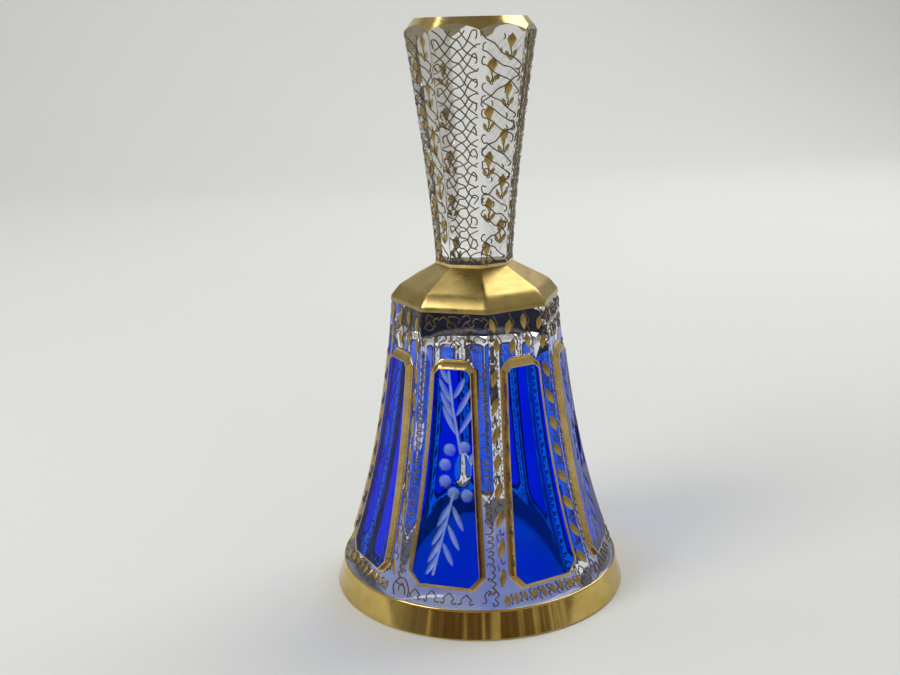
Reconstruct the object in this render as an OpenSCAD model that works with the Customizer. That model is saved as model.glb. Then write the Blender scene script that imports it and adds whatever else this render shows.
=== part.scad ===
// Cut-glass hand bell: an octagonal flared bell with raised blue panels, gilding,
// a solid glass handle, and a small metal clapper on a short chain.
// Origin: centre of the rim's resting plane. +Z runs up the axis. One arris faces -Y.

/* [Bell body] */
// Radius of the round foot at the table
foot_r = 34; // [33:0.1:35]
// Height of the gilded foot band
foot_h = 6.3; // [5.5:0.1:7]
// Radius of the foot band at its top edge
foot_top_r = 32.5; // [32:0.1:33]
// Height of the shoulder's lower corner
shoulder_z = 69.6; // [68:0.2:72]
// Arris radius that the flared body tends to
waist_r = 15; // [14:0.5:16]
// Arris radius that the flare adds at the table
flare_r = 20.2; // [19:0.1:21]
// Height over which the flare fades
flare_len = 43; // [40:1:46]
// Thickness of the glass wall at the middle of a facet
wall = 3; // [2.5:0.1:3.5]

/* [Shoulder and handle] */
// Arris radius of the handle at its foot
neck_r = 8.75; // [8:0.05:9.5]
// Height of the handle's foot
neck_z = 76.2; // [75:0.1:78]
// Arris radius of the handle at its widest
handle_top_r = 14.5; // [13.5:0.1:15.5]
// Total height of the bell
bell_h = 129.6; // [125:0.1:135]
// Height of the cut bevel round the handle's top
bevel_h = 2.8; // [2:0.1:3.5]
// Radius of the flat top of the handle
top_flat_r = 12.2; // [11:0.1:12.5]
// Thickness of the blue layer under the gilded shoulder
overlay_t = 1; // [0.6:0.1:1.4]

/* [Raised panels] */
// Height of the gilded border's lower edge
panel_low = 9; // [8.5:0.1:10]
// Height of the gilded border's upper edge
panel_high = 58.8; // [55:0.2:60]
// Half width of the clear rib between two panels
rib_half = 2.4; // [2:0.1:3]
// Width of the flat gilded border round a panel
border_w = 0.9; // [0.6:0.1:1.2]
// Height of a panel above its facet
panel_raise = 1.2; // [0.8:0.1:1.6]
// Corner cut at a panel's lower corners
low_chamfer = 2.6; // [2:0.1:3.2]
// Corner cut at a panel's upper corners
high_chamfer = 1.5; // [1:0.1:2]
// Width of the clear lens cut through an engraved panel
lens_w = 4.3; // [3.5:0.1:5]
// Length of the lens cut
lens_l = 7.8; // [6:0.1:9]
// Height of the lens cut's middle
lens_z = 34.6; // [32:0.2:38]

/* [Gilding] */
// Thickness that stands in for the fired gold film
film = 0.15; // [0.1:0.01:0.2]
// Height of the gold line round the handle's foot
neck_line_h = 0.7; // [0.5:0.05:1]

/* [Clapper] */
// Diameter of the chain's wire
wire_d = 0.8; // [0.6:0.05:0.9]
// Free gap between two linked wires
link_gap = 0.35; // [0.3:0.01:0.45]
// Distance from one link's pivot to the next
link_pitch = 4; // [3.6:0.1:4.4]
// Height of the chain's upper pivot
pivot_z = 64.6; // [64:0.1:65]
// Diameter of the clapper's bead at its thickest
bead_d = 4.4; // [4:0.1:5]
// Length of the bead
bead_l = 9.5; // [8:0.1:10]
// Diameter of the cement plug that holds the hanger
plug_d = 5; // [4:0.1:6]

/* [Hidden] */
$fn = 96;
SIDES = 8;
HALF = 180 / SIDES;
ROWS = 16;
IN_K = cos(HALF);
dome_z = 59;
crown_z = 68;
foot_in = foot_h - 1.3;
bend_r = foot_r - 0.4;
slope_r = 16.6;
slope_z = shoulder_z + 2.6;
edge_r = 17.7;
edge_z = shoulder_z + 1.7;
edge_low = shoulder_z - 1.2;
film_v = film * 1.2;
overlay_top = neck_z;
glass_top = neck_z - overlay_t;
loop_r = wire_d + link_gap;
plug_top = crown_z + 4;
wall_lean = 70;

// Radius of the body's arrises, and of the middle of its facets, at height z
function arris_r(z) = waist_r + flare_r * exp(-z / flare_len);
function facet_r(z) = arris_r(z) * IN_K;
// Radius of the round inside, closing into a dome at the crown
function inside_r(z) = z <= dome_z ? facet_r(z) - wall
  : (facet_r(dome_z) - wall) * sqrt(max(0, 1 - pow((z - dome_z) / (crown_z - dome_z), 2)));
// Half width of a panel's gilded border on its facet at height z
function border_half(z) = arris_r(z) * sin(HALF) - rib_half;
function row_z(i) = foot_in + (edge_low - foot_in) * i / ROWS;

// Prism with eight equal sides whose half profile is a list of [facet radius, z]
module octagon_solid(profile) {
  mirrored = [for (i = [len(profile) - 1:-1:0]) [-profile[i][0], profile[i][1]]];
  intersection_for (k = [0:SIDES / 2 - 1])
    rotate([0, 0, HALF + k * 2 * HALF])
      rotate([90, 0, 0])
        linear_extrude(height = 100, center = true)
          polygon(concat(profile, mirrored));
}

// Facet-radius profile of the sloped shoulder, lowered by drop
function shoulder_profile(drop, neck) = [
  [edge_r * IN_K - drop, edge_z - drop],
  [slope_r * IN_K - drop, slope_z - drop],
  [neck_r * IN_K, neck]
];

// Body

// The facets are cut into a round blank, and run out into the round foot in a small hollow
module bell_outside() {
  blank_r = foot_top_r - 0.4;
  run_out = 3;
  hollow = 3.4;
  intersection() {
    octagon_solid(concat(
      [for (i = [0:ROWS]) [facet_r(row_z(i)), row_z(i)]],
      shoulder_profile(film_v + overlay_t, glass_top)
    ));
    rotate_extrude()
      polygon([[0, 0], [blank_r, 0], [blank_r, foot_h + 1], [foot_r, foot_h + 30],
               [foot_r, bell_h], [0, bell_h]]);
  }
  rotate_extrude()
    polygon(concat(
      [[0, 0], [bend_r, 0], [foot_r - film, 0.5], [foot_top_r - film, foot_h - 0.5]],
      [for (i = [0:6]) [blank_r - hollow * pow(i / 6, 0.6), foot_h - 0.2 + run_out * i / 6]],
      [[0, foot_h - 0.2 + run_out]]
    ));
}

module bell_inside() {
  levels = [for (i = [0:12]) dome_z * i / 12];
  dome = [for (i = [1:8]) dome_z + (crown_z - dome_z) * sin(90 * i / 8)];
  rotate_extrude()
    polygon(concat(
      [[0, -1], [inside_r(0), -1]],
      [for (z = levels) [inside_r(z), z]],
      [for (z = dome) [inside_r(z), z]]
    ));
}

module bell_glass() {
  color([0.75, 0.8, 0.92, 0.5])
    difference() {
      bell_outside();
      bell_inside();
      translate([0, 0, crown_z - 1]) cylinder(d = plug_d, h = plug_top - crown_z + 1);
    }
}

module handle_body(grow) {
  rise = bell_h - bevel_h - neck_z;
  octagon_solid([for (i = [0:8]) [
    (neck_r + (handle_top_r - neck_r) * pow(i / 8, 1.35) + grow) * IN_K, neck_z + rise * i / 8
  ]]);
}

module handle_glass() {
  rise = bell_h - neck_z;
  color([0.85, 0.88, 0.9, 0.5])
    intersection() {
      octagon_solid([for (i = [0:9]) [
        (neck_r + (handle_top_r - neck_r) * pow(min(i / 8, 1), 1.35)) * IN_K,
        i < 9 ? neck_z + (rise - bevel_h) * i / 8 : bell_h
      ]]);
      handle_bevel(film);
    }
}

// Turned cone that cuts the scalloped bevel, lowered by drop
module handle_bevel(drop) {
  lean = (handle_top_r - top_flat_r) / bevel_h;
  rotate_extrude()
    polygon([[0, neck_z], [handle_top_r + 20 * lean, neck_z],
             [handle_top_r + 20 * lean - drop, bell_h - bevel_h - 20],
             [top_flat_r - drop * 0.4, bell_h - drop], [0, bell_h - drop]]);
}

// Blue layer and gilding of the shoulder

module shoulder_overlay() {
  color([0.02, 0.05, 0.6])
    difference() {
      octagon_solid(concat(
        [[facet_r(edge_low), edge_low], [facet_r(shoulder_z) - film_v, shoulder_z - film_v]],
        shoulder_profile(film_v, overlay_top)
      ));
      octagon_solid(concat(
        [[facet_r(edge_low), edge_low - 1], [facet_r(edge_low), edge_low]],
        shoulder_profile(film_v + overlay_t, glass_top)
      ));
    }
}

module shoulder_gilding() {
  color([0.72, 0.55, 0.2])
    difference() {
      octagon_solid(concat(
        [[facet_r(edge_low) + film, edge_low], [facet_r(shoulder_z) + film, shoulder_z]],
        shoulder_profile(0, neck_z + film)
      ));
      octagon_solid(concat(
        [[facet_r(edge_low), edge_low - 1], [facet_r(edge_low), edge_low],
         [facet_r(shoulder_z) - film_v, shoulder_z - film_v]],
        shoulder_profile(film_v, overlay_top)
      ));
      octagon_solid([[neck_r * IN_K, neck_z - 1], [neck_r * IN_K, neck_z + 1]]);
    }
}

module neck_gilding() {
  low = neck_z + film;
  color([0.8, 0.62, 0.22])
    difference() {
      octagon_solid([[(neck_r + 2 * film) * IN_K, low],
                     [(neck_r + 2 * film) * IN_K, low + neck_line_h]]);
      handle_body(0);
    }
}

module handle_cap_gilding() {
  color([0.78, 0.62, 0.25])
    difference() {
      intersection() {
        octagon_solid([[handle_top_r * IN_K, bell_h - bevel_h - 2], [handle_top_r * IN_K, bell_h]]);
        handle_bevel(0);
      }
      handle_bevel(film);
    }
}

module foot_gilding() {
  lip_r = foot_top_r - 0.4;
  color([0.75, 0.6, 0.2])
    rotate_extrude()
      polygon([[bend_r, 0], [foot_r, 0.4], [foot_top_r, foot_h - 0.4], [foot_top_r - 0.1, foot_h],
               [lip_r + 0.05, foot_h + film], [lip_r, foot_h + film], [lip_r, foot_h - 0.2],
               [foot_top_r - film, foot_h - 0.5], [foot_r - film, 0.5]]);
}

// Raised panels and their gilded borders, drawn facing -Y

// Slab on a facet: lift is its height, inset its distance inside the border's edge,
// lean the angle of its side walls
module facet_slab(lift, inset, low_cut, high_cut, lean, top_run) {
  zs = [for (i = [0:ROWS]) row_z(i)];
  low = panel_low + inset;
  high = panel_high - inset;
  intersection() {
    rotate([90, 0, 90])
      linear_extrude(height = 60, center = true)
        polygon(concat(
          [for (z = zs) [-facet_r(z) - lift, z]],
          [for (i = [ROWS:-1:0]) [-facet_r(zs[i]), zs[i]]]
        ));
    side_walls(zs, inset, lean);
    slab_outline(low, high, inset, low_cut, high_cut);
    // sloped upper wall
    rotate([90, 0, 90])
      linear_extrude(height = 60, center = true)
        polygon([[-60, low - 5], [0, low - 5], [0, high + facet_r(high) * top_run],
                 [-facet_r(high), high], [-60, high - (60 - facet_r(high)) * top_run]]);
  }
}

module side_walls(zs, inset, lean) {
  intersection_for (side = [-1, 1])
    rotate([0, 0, side * lean])
      rotate([90, 0, 90])
        linear_extrude(height = 120, center = true)
          polygon(concat(
            [[40, zs[ROWS]], [40, zs[0]]],
            [for (z = zs) [-facet_r(z) * cos(lean) - (border_half(z) - inset) * sin(lean), z]]
          ));
}

// Outline in the facet's plane: straight ends and cut corners
module slab_outline(low, high, inset, low_cut, high_cut) {
  lw = border_half(low) - inset;
  hw = border_half(high) - inset;
  rotate([90, 0, 0])
    linear_extrude(height = 60)
      polygon([[-lw + low_cut, low], [lw - low_cut, low], [lw + 8, low + low_cut + 8],
               [hw + 8, high - high_cut - 8], [hw - high_cut, high], [-hw + high_cut, high],
               [-hw - 8, high - high_cut - 8], [-lw - 8, low + low_cut + 8]]);
}

module panel_slab(grow) {
  facet_slab(panel_raise, border_w - grow, low_chamfer, high_chamfer, wall_lean, 1);
}

module panel_at(k) {
  rotate([0, 0, HALF + k * 2 * HALF]) children();
}

module plain_panel() {
  color([0, 0.05, 0.75]) panel_slab(0);
}

module engraved_panel() {
  depth = panel_raise + 0.1;
  edge = (lens_w * lens_w / 4 + depth * depth) / (2 * depth);
  wheel = (lens_l * lens_l / 4 + depth * depth) / (2 * depth);
  color([0.1, 0.2, 0.8])
    difference() {
      panel_slab(0);
      translate([0, -facet_r(lens_z) - panel_raise + depth - wheel, lens_z])
        rotate([0, 90, 0])
          rotate_extrude()
            translate([wheel - edge, 0]) circle(r = edge);
    }
}

module panel_gilding() {
  color([0.8, 0.62, 0.25])
    difference() {
      union() {
        facet_slab(film, 0, low_chamfer + 0.6, high_chamfer + 1, 90 - HALF, 1);
        panel_slab(film);
      }
      panel_slab(0);
    }
}

// Chain and clapper

// Half of a loop of wire in the XZ plane, bulging up
module half_loop() {
  rotate([90, 0, 0])
    rotate_extrude(angle = 180) translate([loop_r, 0]) circle(d = wire_d, $fn = 32);
}

// Long link whose upper pivot is at the origin
module chain_link() {
  straight = link_pitch - loop_r;
  half_loop();
  translate([0, 0, -straight]) mirror([0, 0, 1]) half_loop();
  for (side = [-1, 1])
    translate([side * loop_r, 0, -straight]) cylinder(d = wire_d, h = straight, $fn = 32);
}

module hanger_eye() {
  stem_low = pivot_z + 2 * loop_r;
  color([0.35, 0.32, 0.28]) {
    translate([0, 0, pivot_z + loop_r])
      rotate([90, 0, 0])
        rotate_extrude() translate([loop_r, 0]) circle(d = wire_d, $fn = 32);
    translate([0, 0, stem_low]) cylinder(d = wire_d, h = plug_top - 1 - stem_low, $fn = 32);
  }
}

module hanger_plug() {
  color([0.85, 0.83, 0.78])
    difference() {
      translate([0, 0, crown_z - 0.2]) cylinder(d = plug_d, h = plug_top - crown_z + 0.2);
      translate([0, 0, crown_z - 1]) cylinder(d = wire_d, h = plug_top - crown_z, $fn = 32);
    }
}

module hung_link(index) {
  color([0.4, 0.36, 0.3])
    translate([0, 0, pivot_z - (index - 1) * link_pitch])
      rotate([0, 0, index % 2 == 1 ? 90 : 0]) chain_link();
}

module clapper_eye() {
  z = pivot_z - 3 * link_pitch;
  color([0.4, 0.36, 0.3])
    translate([0, 0, z])
      difference() {
        rotate([90, 0, 0])
          rotate_extrude() translate([loop_r, 0]) circle(d = wire_d, $fn = 32);
        translate([0, 0, -loop_r - 2.2]) cylinder(d = 4, h = 2);
      }
}

module clapper_bead() {
  top = pivot_z - 3 * link_pitch - loop_r - 0.2;
  color([0.3, 0.28, 0.25])
    translate([0, 0, top])
      rotate_extrude()
        polygon(concat(
          [[0, 0]],
          [for (i = [1:18]) bead_point(i / 18)]
        ));
}

// Half outline of the drop-shaped bead, t running from its top to its tip
function bead_point(t) = [bead_d / 2 * (0.32 * (1 - t) + pow(t, 1.3)) * sqrt(max(0, 1 - pow(t, 6))) * 1.04,
                          -bead_l * t];

bell_glass();
handle_glass();
shoulder_overlay();
shoulder_gilding();
neck_gilding();
handle_cap_gilding();
foot_gilding();
for (k = [1:4])
  panel_at(2 * k - 2) plain_panel();
for (k = [1:4])
  panel_at(2 * k - 1) engraved_panel();
for (k = [1:8])
  panel_at(k - 1) panel_gilding();
hanger_plug();
hanger_eye();
for (k = [1:3])
  hung_link(k);
clapper_eye();
clapper_bead();
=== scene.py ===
# %% [markdown]
# # A cut-glass hand bell
# The bell is clear glass cut to eight sides, with raised cobalt panels left from an outer layer of blue
# glass, fired gold on its edges, and a small metal clapper on a chain. The CAD frame gives the driving
# sizes. This script makes the glass, the gilding and the painted gold that plain CAD solids leave out.

# %% Tools and the shared frame
import math

import bmesh
import bpy
import numpy as np
from mathutils import Matrix, Vector


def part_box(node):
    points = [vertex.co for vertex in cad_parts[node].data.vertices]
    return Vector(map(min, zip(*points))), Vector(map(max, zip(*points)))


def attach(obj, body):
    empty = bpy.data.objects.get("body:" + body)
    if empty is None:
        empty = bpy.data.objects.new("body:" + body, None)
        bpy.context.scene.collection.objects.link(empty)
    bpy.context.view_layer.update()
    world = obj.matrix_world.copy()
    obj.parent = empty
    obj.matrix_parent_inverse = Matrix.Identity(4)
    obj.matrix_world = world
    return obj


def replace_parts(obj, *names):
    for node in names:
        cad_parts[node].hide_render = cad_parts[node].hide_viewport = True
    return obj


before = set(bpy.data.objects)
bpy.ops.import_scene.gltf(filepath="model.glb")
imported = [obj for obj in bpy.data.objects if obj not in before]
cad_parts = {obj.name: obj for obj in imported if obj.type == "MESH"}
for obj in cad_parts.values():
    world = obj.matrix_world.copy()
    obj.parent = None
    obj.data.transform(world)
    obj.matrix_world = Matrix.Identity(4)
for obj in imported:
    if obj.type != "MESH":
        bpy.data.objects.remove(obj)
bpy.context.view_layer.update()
MM = 0.001

# %% [markdown]
# ## The driving sizes
# A glass cutter works from a few diameters and heights. They could be typed in again here, but then the
# looks would drift away from the design, so they are read from the boxes of the CAD parts. Only what a
# box doesn't tell is repeated: the curve of the flare, the wall, and the widths of ribs and borders.

# %% Sizes read from the frame, in millimetres
CAD_FILM = 0.15
BAND_LEAN = 1.5
COLLAR_LAP = 1.2
NECK_LINE_REACH = 0.3
PLUG_SINK = 0.2


def top_of(node):
    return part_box(node)[1].z / MM


def low_of(node):
    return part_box(node)[0].z / MM


def reach_of(node):
    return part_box(node)[1].x / MM


FOOT_R = reach_of("foot_gilding")
FOOT_H = top_of("foot_gilding") - CAD_FILM
FOOT_TOP_R = FOOT_R - BAND_LEAN
EDGE_LOW = low_of("shoulder_gilding")
SHOULDER_Z = EDGE_LOW + COLLAR_LAP
NECK_Z = low_of("handle_glass")
NECK_R = reach_of("neck_gilding") - NECK_LINE_REACH
BELL_H = top_of("handle_cap_gilding")
TOP_R = reach_of("handle_cap_gilding")
CROWN_Z = low_of("hanger_plug") + PLUG_SINK
PANEL_LOW = low_of("panel_gilding_1")
PANEL_HIGH = top_of("panel_gilding_1")
print("foot radius", round(FOOT_R, 2), "neck", round(NECK_R, 2), round(NECK_Z, 2))
print("height", round(BELL_H, 2), "panels from", round(PANEL_LOW, 2), "to", round(PANEL_HIGH, 2))

# %% Sizes that a box doesn't tell, and the flare as a formula
# HALF is half of one side's angle, and IN_K turns an edge's distance from the axis into its side's.
# The flare falls from WAIST_R + FLARE_R towards WAIST_R. RAISE is a panel's height over its side, and
# LEAN_RUN is how far its long walls lean in.
HALF = math.pi / 8
IN_K = math.cos(HALF)
WAIST_R, FLARE_R, FLARE_LEN = 15.0, 20.2, 43.0
WALL, DOME_Z = 3.0, 59.0
OVERLAY = 1.0
EDGE_R, EDGE_Z = 17.7, SHOULDER_Z + 1.7
SLOPE_R, SLOPE_Z = 16.6, SHOULDER_Z + 2.6
RIB_HALF, BORDER = 2.4, 0.9
RAISE, LEAN_RUN = 1.2, 0.44
BEVEL_H, TOP_FLAT_R = 2.8, 12.2


def arris_r(z):
    """Distance from the axis to an edge between two sides."""
    return WAIST_R + FLARE_R * np.exp(-np.asarray(z, float) / FLARE_LEN)


def facet_r(z):
    """Distance from the axis to the middle of a side."""
    return arris_r(z) * IN_K


def facet_half(z):
    """Half the width of a side."""
    return arris_r(z) * math.sin(HALF)


def inside_r(z):
    """Radius of the round inside, which closes in a dome."""
    if z <= DOME_Z:
        return float(facet_r(z)) - WALL
    t = min(1.0, (z - DOME_Z) / (CROWN_Z - DOME_Z))
    return (float(facet_r(DOME_Z)) - WALL) * math.sqrt(max(0.0, 1 - t * t))


def border_half(z):
    """Half the width of a panel with its border."""
    return facet_half(z) - RIB_HALF


print("side widths:", {z: round(2 * float(facet_half(z)), 1) for z in (10, 35, 60)})

# %% [markdown]
# ## From rings to a closed mesh
# Blown and cut glass is round inside and flat-sided outside. It could be spun and then cut with Boolean
# modifiers, but those leave long thin faces, and glass shows every one of them. Inside and outside are
# both rings of points stacked along the axis, so one helper joins any stack of rings into a closed mesh.
# The flat sides come from the distance to the axis: a side keeps r * cos(angle) the same. A narrow strip
# is left at each corner, as the polisher leaves it, and it catches a thin line of light.

# %% Rings of points
COLUMNS = 24
CORNER = math.radians(0.45)
facet_angles = np.linspace(-HALF + CORNER, HALF - CORNER, COLUMNS)
ring_angles = np.concatenate([HALF + k * 2 * HALF + facet_angles for k in range(8)])
local_angles = np.tile(facet_angles, 8)


def place(azimuth, radius, z):
    """Points at an azimuth counted from -Y towards +X."""
    azimuth, radius, z = np.broadcast_arrays(azimuth, radius, z)
    return np.stack([radius * np.sin(azimuth), -radius * np.cos(azimuth), z], -1)


def octagon_ring(facet_radius, z, cap=None):
    """A ring with eight flat sides. Corners that would pass the cap stay round."""
    radius = facet_radius / np.cos(local_angles)
    if cap is not None:
        radius = np.minimum(radius, cap)
    return place(ring_angles, radius, z)


def round_ring(radius, z):
    return place(ring_angles, radius, z)


print(len(ring_angles), "points in a ring")

# %% From rings to a mesh
FREE, JOINED = 0, 1
print("material slots: free face", FREE, "joined face", JOINED)


def finish_mesh(name, points, faces, materials, face_material=None, sharp=25):
    """A mesh object from points in millimetres. face_material picks a material for each face."""
    mesh = bpy.data.meshes.new(name)
    mesh.from_pydata([tuple(p) for p in np.asarray(points) * MM], [], [tuple(f) for f in faces])
    for m in materials:
        mesh.materials.append(m)
    if face_material is not None:
        mesh.polygons.foreach_set("material_index", np.asarray(face_material, np.int32))
    work = bmesh.new()
    work.from_mesh(mesh)
    bmesh.ops.recalc_face_normals(work, faces=work.faces)
    work.to_mesh(mesh)
    work.free()
    mesh.shade_smooth()
    mesh.set_sharp_from_angle(angle=math.radians(sharp))
    piece = bpy.data.objects.new(name, mesh)
    bpy.context.scene.collection.objects.link(piece)
    return piece


def stacked(rings, closed_stack=False):
    """Quads between rings of equal length. Open stacks end in a fan round the ring's middle.

    Returns points, faces and, for each face, its row and its column.
    """
    count = len(rings[0])
    points = np.concatenate(rings)
    faces, owners = [], []
    spans = len(rings) if closed_stack else len(rings) - 1
    for i in range(spans):
        a, b = i * count, ((i + 1) % len(rings)) * count
        for j in range(count):
            k = (j + 1) % count
            faces.append((a + j, a + k, b + k, b + j))
            owners.append((i, j))
    if not closed_stack:
        for end, ring in ((0, rings[0]), (len(rings) - 1, rings[-1])):
            points = np.vstack([points, ring.mean(0)])
            hub = len(points) - 1
            for j in range(count):
                faces.append((end * count + j, end * count + (j + 1) % count, hub))
                owners.append((-1 if end == 0 else spans, j))
    return points, faces, owners


# %% [markdown]
# ## Building materials in nodes
# Every finish here is a small node tree: a noise in Object coordinates drives the colour, the roughness
# or a bump, so nothing is one flat colour. The trees could be drawn by hand in the Shader Editor. Written
# as helpers, the same few steps serve glass, gold, iron and plaster.

# %% Node helpers


def new_material(name):
    material = bpy.data.materials.new(name)
    material.use_nodes = True
    material.node_tree.nodes.clear()
    return material, material.node_tree


def node(tree, kind, **inputs):
    made = tree.nodes.new(kind)
    for key, value in inputs.items():
        socket = made.inputs[key.replace("_", " ")]
        if isinstance(value, bpy.types.NodeSocket):
            tree.links.new(value, socket)
        else:
            socket.default_value = value
    return made


def object_coords(tree, scale=(1, 1, 1)):
    coords = tree.nodes.new("ShaderNodeTexCoord")
    mapping = tree.nodes.new("ShaderNodeMapping")
    mapping.inputs["Scale"].default_value = scale
    tree.links.new(coords.outputs["Object"], mapping.inputs["Vector"])
    return mapping.outputs["Vector"]


def noise(tree, scale, detail=3.0, stretch=(1, 1, 1), rough=0.55):
    return node(tree, "ShaderNodeTexNoise", Vector=object_coords(tree, stretch), Scale=scale,
                Detail=detail, Roughness=rough).outputs["Fac"]


def ramp(tree, value, stops):
    made = tree.nodes.new("ShaderNodeValToRGB")
    tree.links.new(value, made.inputs["Fac"])
    marks = made.color_ramp.elements
    while len(marks) < len(stops):
        marks.new(0.5)
    for mark, (place_on, colour) in zip(marks, stops):
        mark.position = place_on
        mark.color = (*colour, 1)
    return made.outputs["Color"]


def bump(tree, height, strength, distance):
    return node(tree, "ShaderNodeBump", Height=height, Strength=strength,
                Distance=distance).outputs["Normal"]


def mix_shaders(tree, share, first, second):
    made = tree.nodes.new("ShaderNodeMixShader")
    if isinstance(share, bpy.types.NodeSocket):
        tree.links.new(share, made.inputs[0])
    else:
        made.inputs[0].default_value = share
    tree.links.new(first, made.inputs[1])
    tree.links.new(second, made.inputs[2])
    return made.outputs[0]


def output(tree, shader):
    out = tree.nodes.new("ShaderNodeOutputMaterial")
    tree.links.new(shader, out.inputs["Surface"])


# %% [markdown]
# ## Clear and blue glass
# The bell is clear glass under a skin of cobalt glass, melted together. Blue glass could be a solid with
# a blue volume, but the layer is only about a millimetre thick, so its colour fits on a face. Glass that
# touches glass or gold has no surface of its own there, and light passes straight on: those hidden
# contact faces get a transparent "fused" material, blue where the blue layer starts. Only free faces bend
# light. Rays on their way to a lamp take a shortcut through the free faces, or the inside of the bell
# would lie in a hard black shadow that real glass doesn't cast.

# %% Free faces and fused faces
GLASS_IOR, PANEL_IOR = 1.52, 1.25
COBALT_GLINT = (0.05, 0.15, 1, 1)
SHORTCUT_TINT = (0.95, 0.96, 0.98, 1)


def lamp_rays(tree):
    """1 for rays on their way to a lamp and for rays that gather soft light."""
    path = tree.nodes.new("ShaderNodeLightPath")
    either = node(tree, "ShaderNodeMath")
    either.operation = "MAXIMUM"
    tree.links.new(path.outputs["Is Shadow Ray"], either.inputs[0])
    tree.links.new(path.outputs["Is Diffuse Ray"], either.inputs[1])
    return either.outputs[0]


def clear_glass(name, tint_low, tint_high, wave, ior=GLASS_IOR, glint=(1, 1, 1, 1)):
    """A free glass face. wave is how strongly the polisher's faint waves show."""
    material, tree = new_material(name)
    tint = ramp(tree, noise(tree, 60), [(0.35, tint_low), (0.65, tint_high)])
    glass = node(tree, "ShaderNodeBsdfPrincipled", Base_Color=tint, Roughness=0.0, IOR=ior,
                 Specular_Tint=glint)
    glass.inputs["Transmission Weight"].default_value = 1.0
    tree.links.new(bump(tree, noise(tree, 90, 2), wave, 0.0004), glass.inputs["Normal"])
    open_way = node(tree, "ShaderNodeBsdfTransparent", Color=SHORTCUT_TINT)
    output(tree, mix_shaders(tree, lamp_rays(tree), glass.outputs[0], open_way.outputs[0]))
    return material


def fused_face(name, low, high):
    """A face where two glasses, or glass and gold, are one. It only tints the light."""
    material, tree = new_material(name)
    tint = ramp(tree, noise(tree, 120), [(0.3, low), (0.7, high)])
    clear = node(tree, "ShaderNodeBsdfTransparent", Color=tint)
    output(tree, clear.outputs[0])
    return material


BODY_GLASS = clear_glass("clear_body_glass", (0.955, 0.965, 0.99), (0.975, 0.98, 1.0), 0.12)
HANDLE_GLASS = clear_glass("clear_handle_glass", (0.97, 0.975, 0.98), (0.99, 0.99, 0.99), 0.1)
PANEL_GLASS = clear_glass("panel_face_glass", (0.9, 0.92, 0.99), (0.94, 0.95, 1.0), 0.2, PANEL_IOR,
                          COBALT_GLINT)
FUSED = fused_face("fused_clear", (0.98, 0.985, 0.99), (1.0, 1.0, 1.0))
FUSED_NAVY = fused_face("fused_navy", (0.004, 0.012, 0.3), (0.008, 0.02, 0.42))
FUSED_BLUE = fused_face("fused_blue", (0.002, 0.095, 0.93), (0.004, 0.13, 1.0))
print("glass:", [m.name for m in (BODY_GLASS, HANDLE_GLASS, PANEL_GLASS, FUSED, FUSED_NAVY, FUSED_BLUE)])

# %% [markdown]
# ## The bell's body
# The real body is blown round inside, and eight flat sides are then cut into the round blank. Where a
# side runs out above the foot, the wheel leaves a small hollow. A Subdivision Surface would round the
# edges too much and a bevel would not fade out, so each ring is worked out: eight-sided above, growing
# into the round foot. The rings run from the crown down the outside, round the rim and up the inside to
# the dome, so the shell is one closed piece of glass.

# %% Outline of the body
# FILM_V is the room left for gold over the shoulder. RUN_OUT and HOLLOW are the height and the depth of
# the hollow over the foot.
GLASS_TOP = NECK_Z - OVERLAY
FILM_V = 0.18
BLANK_R = FOOT_TOP_R - 0.4
BLANK_LEAN = 0.6
BAND_TOP_R = FOOT_TOP_R - 0.25
RUN_OUT, HOLLOW = 3.0, 3.4
FACET_END = FOOT_H - 0.2


def blank_r(z):
    """Radius of the round blank, beyond which no corner reaches."""
    return np.where(z < FOOT_H + 1, BLANK_R, BLANK_R + (z - FOOT_H - 1) * BLANK_LEAN)


def skirt_r(z):
    """Radius of the small hollow in which the facets run out into the round foot."""
    t = np.clip((z - FACET_END) / RUN_OUT, 0, 1)
    return BLANK_R - HOLLOW * t ** 0.6


def outside_ring(z):
    """A ring of the outside: eight-sided, and rounder where it runs out into the foot."""
    ring = octagon_ring(facet_r(z), z, blank_r(z))
    if z > FACET_END + RUN_OUT:
        return ring
    flat = np.hypot(ring[:, 0], ring[:, 1])
    grown = np.maximum(flat, skirt_r(z))
    return place(ring_angles, grown, z)


# %% Rings of the body
crown = [
    octagon_ring(NECK_R * IN_K, GLASS_TOP),
    octagon_ring(SLOPE_R * IN_K - FILM_V - OVERLAY, SLOPE_Z - FILM_V - OVERLAY),
    octagon_ring(EDGE_R * IN_K - FILM_V - OVERLAY, EDGE_Z - FILM_V - OVERLAY),
]
facet_levels = np.concatenate([np.linspace(EDGE_LOW, FACET_END + RUN_OUT, 92),
                               FACET_END + RUN_OUT * np.linspace(0.94, 0, 18) ** 1.6])
sides = [outside_ring(z) for z in facet_levels]
foot = [round_ring(r, z) for r, z in (
    (BLANK_R - 0.05, FACET_END - 0.1), (BAND_TOP_R - 0.19, FOOT_H - 0.55),
    (FOOT_R - 0.19, 0.5), (FOOT_R - 0.4, 0.02), (inside_r(0) + 0.5, 0.0), (inside_r(0) + 0.12, 0.15))]
inner = [round_ring(inside_r(z), z) for z in np.linspace(0.6, DOME_Z, 70)]
dome_levels = DOME_Z + (CROWN_Z - DOME_Z) * np.sin(np.linspace(0.1, 1.54, 16))
inner += [round_ring(inside_r(z), z) for z in dome_levels]
body_rings = crown + sides + foot + inner
print(len(body_rings), "rings in the body")

# %% The body, with fused faces under panels and gold
UNDER_PANEL = 0.45
LOW_CORNER, HIGH_CORNER = 3.2, 2.5
BAND_ROWS = 4


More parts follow.
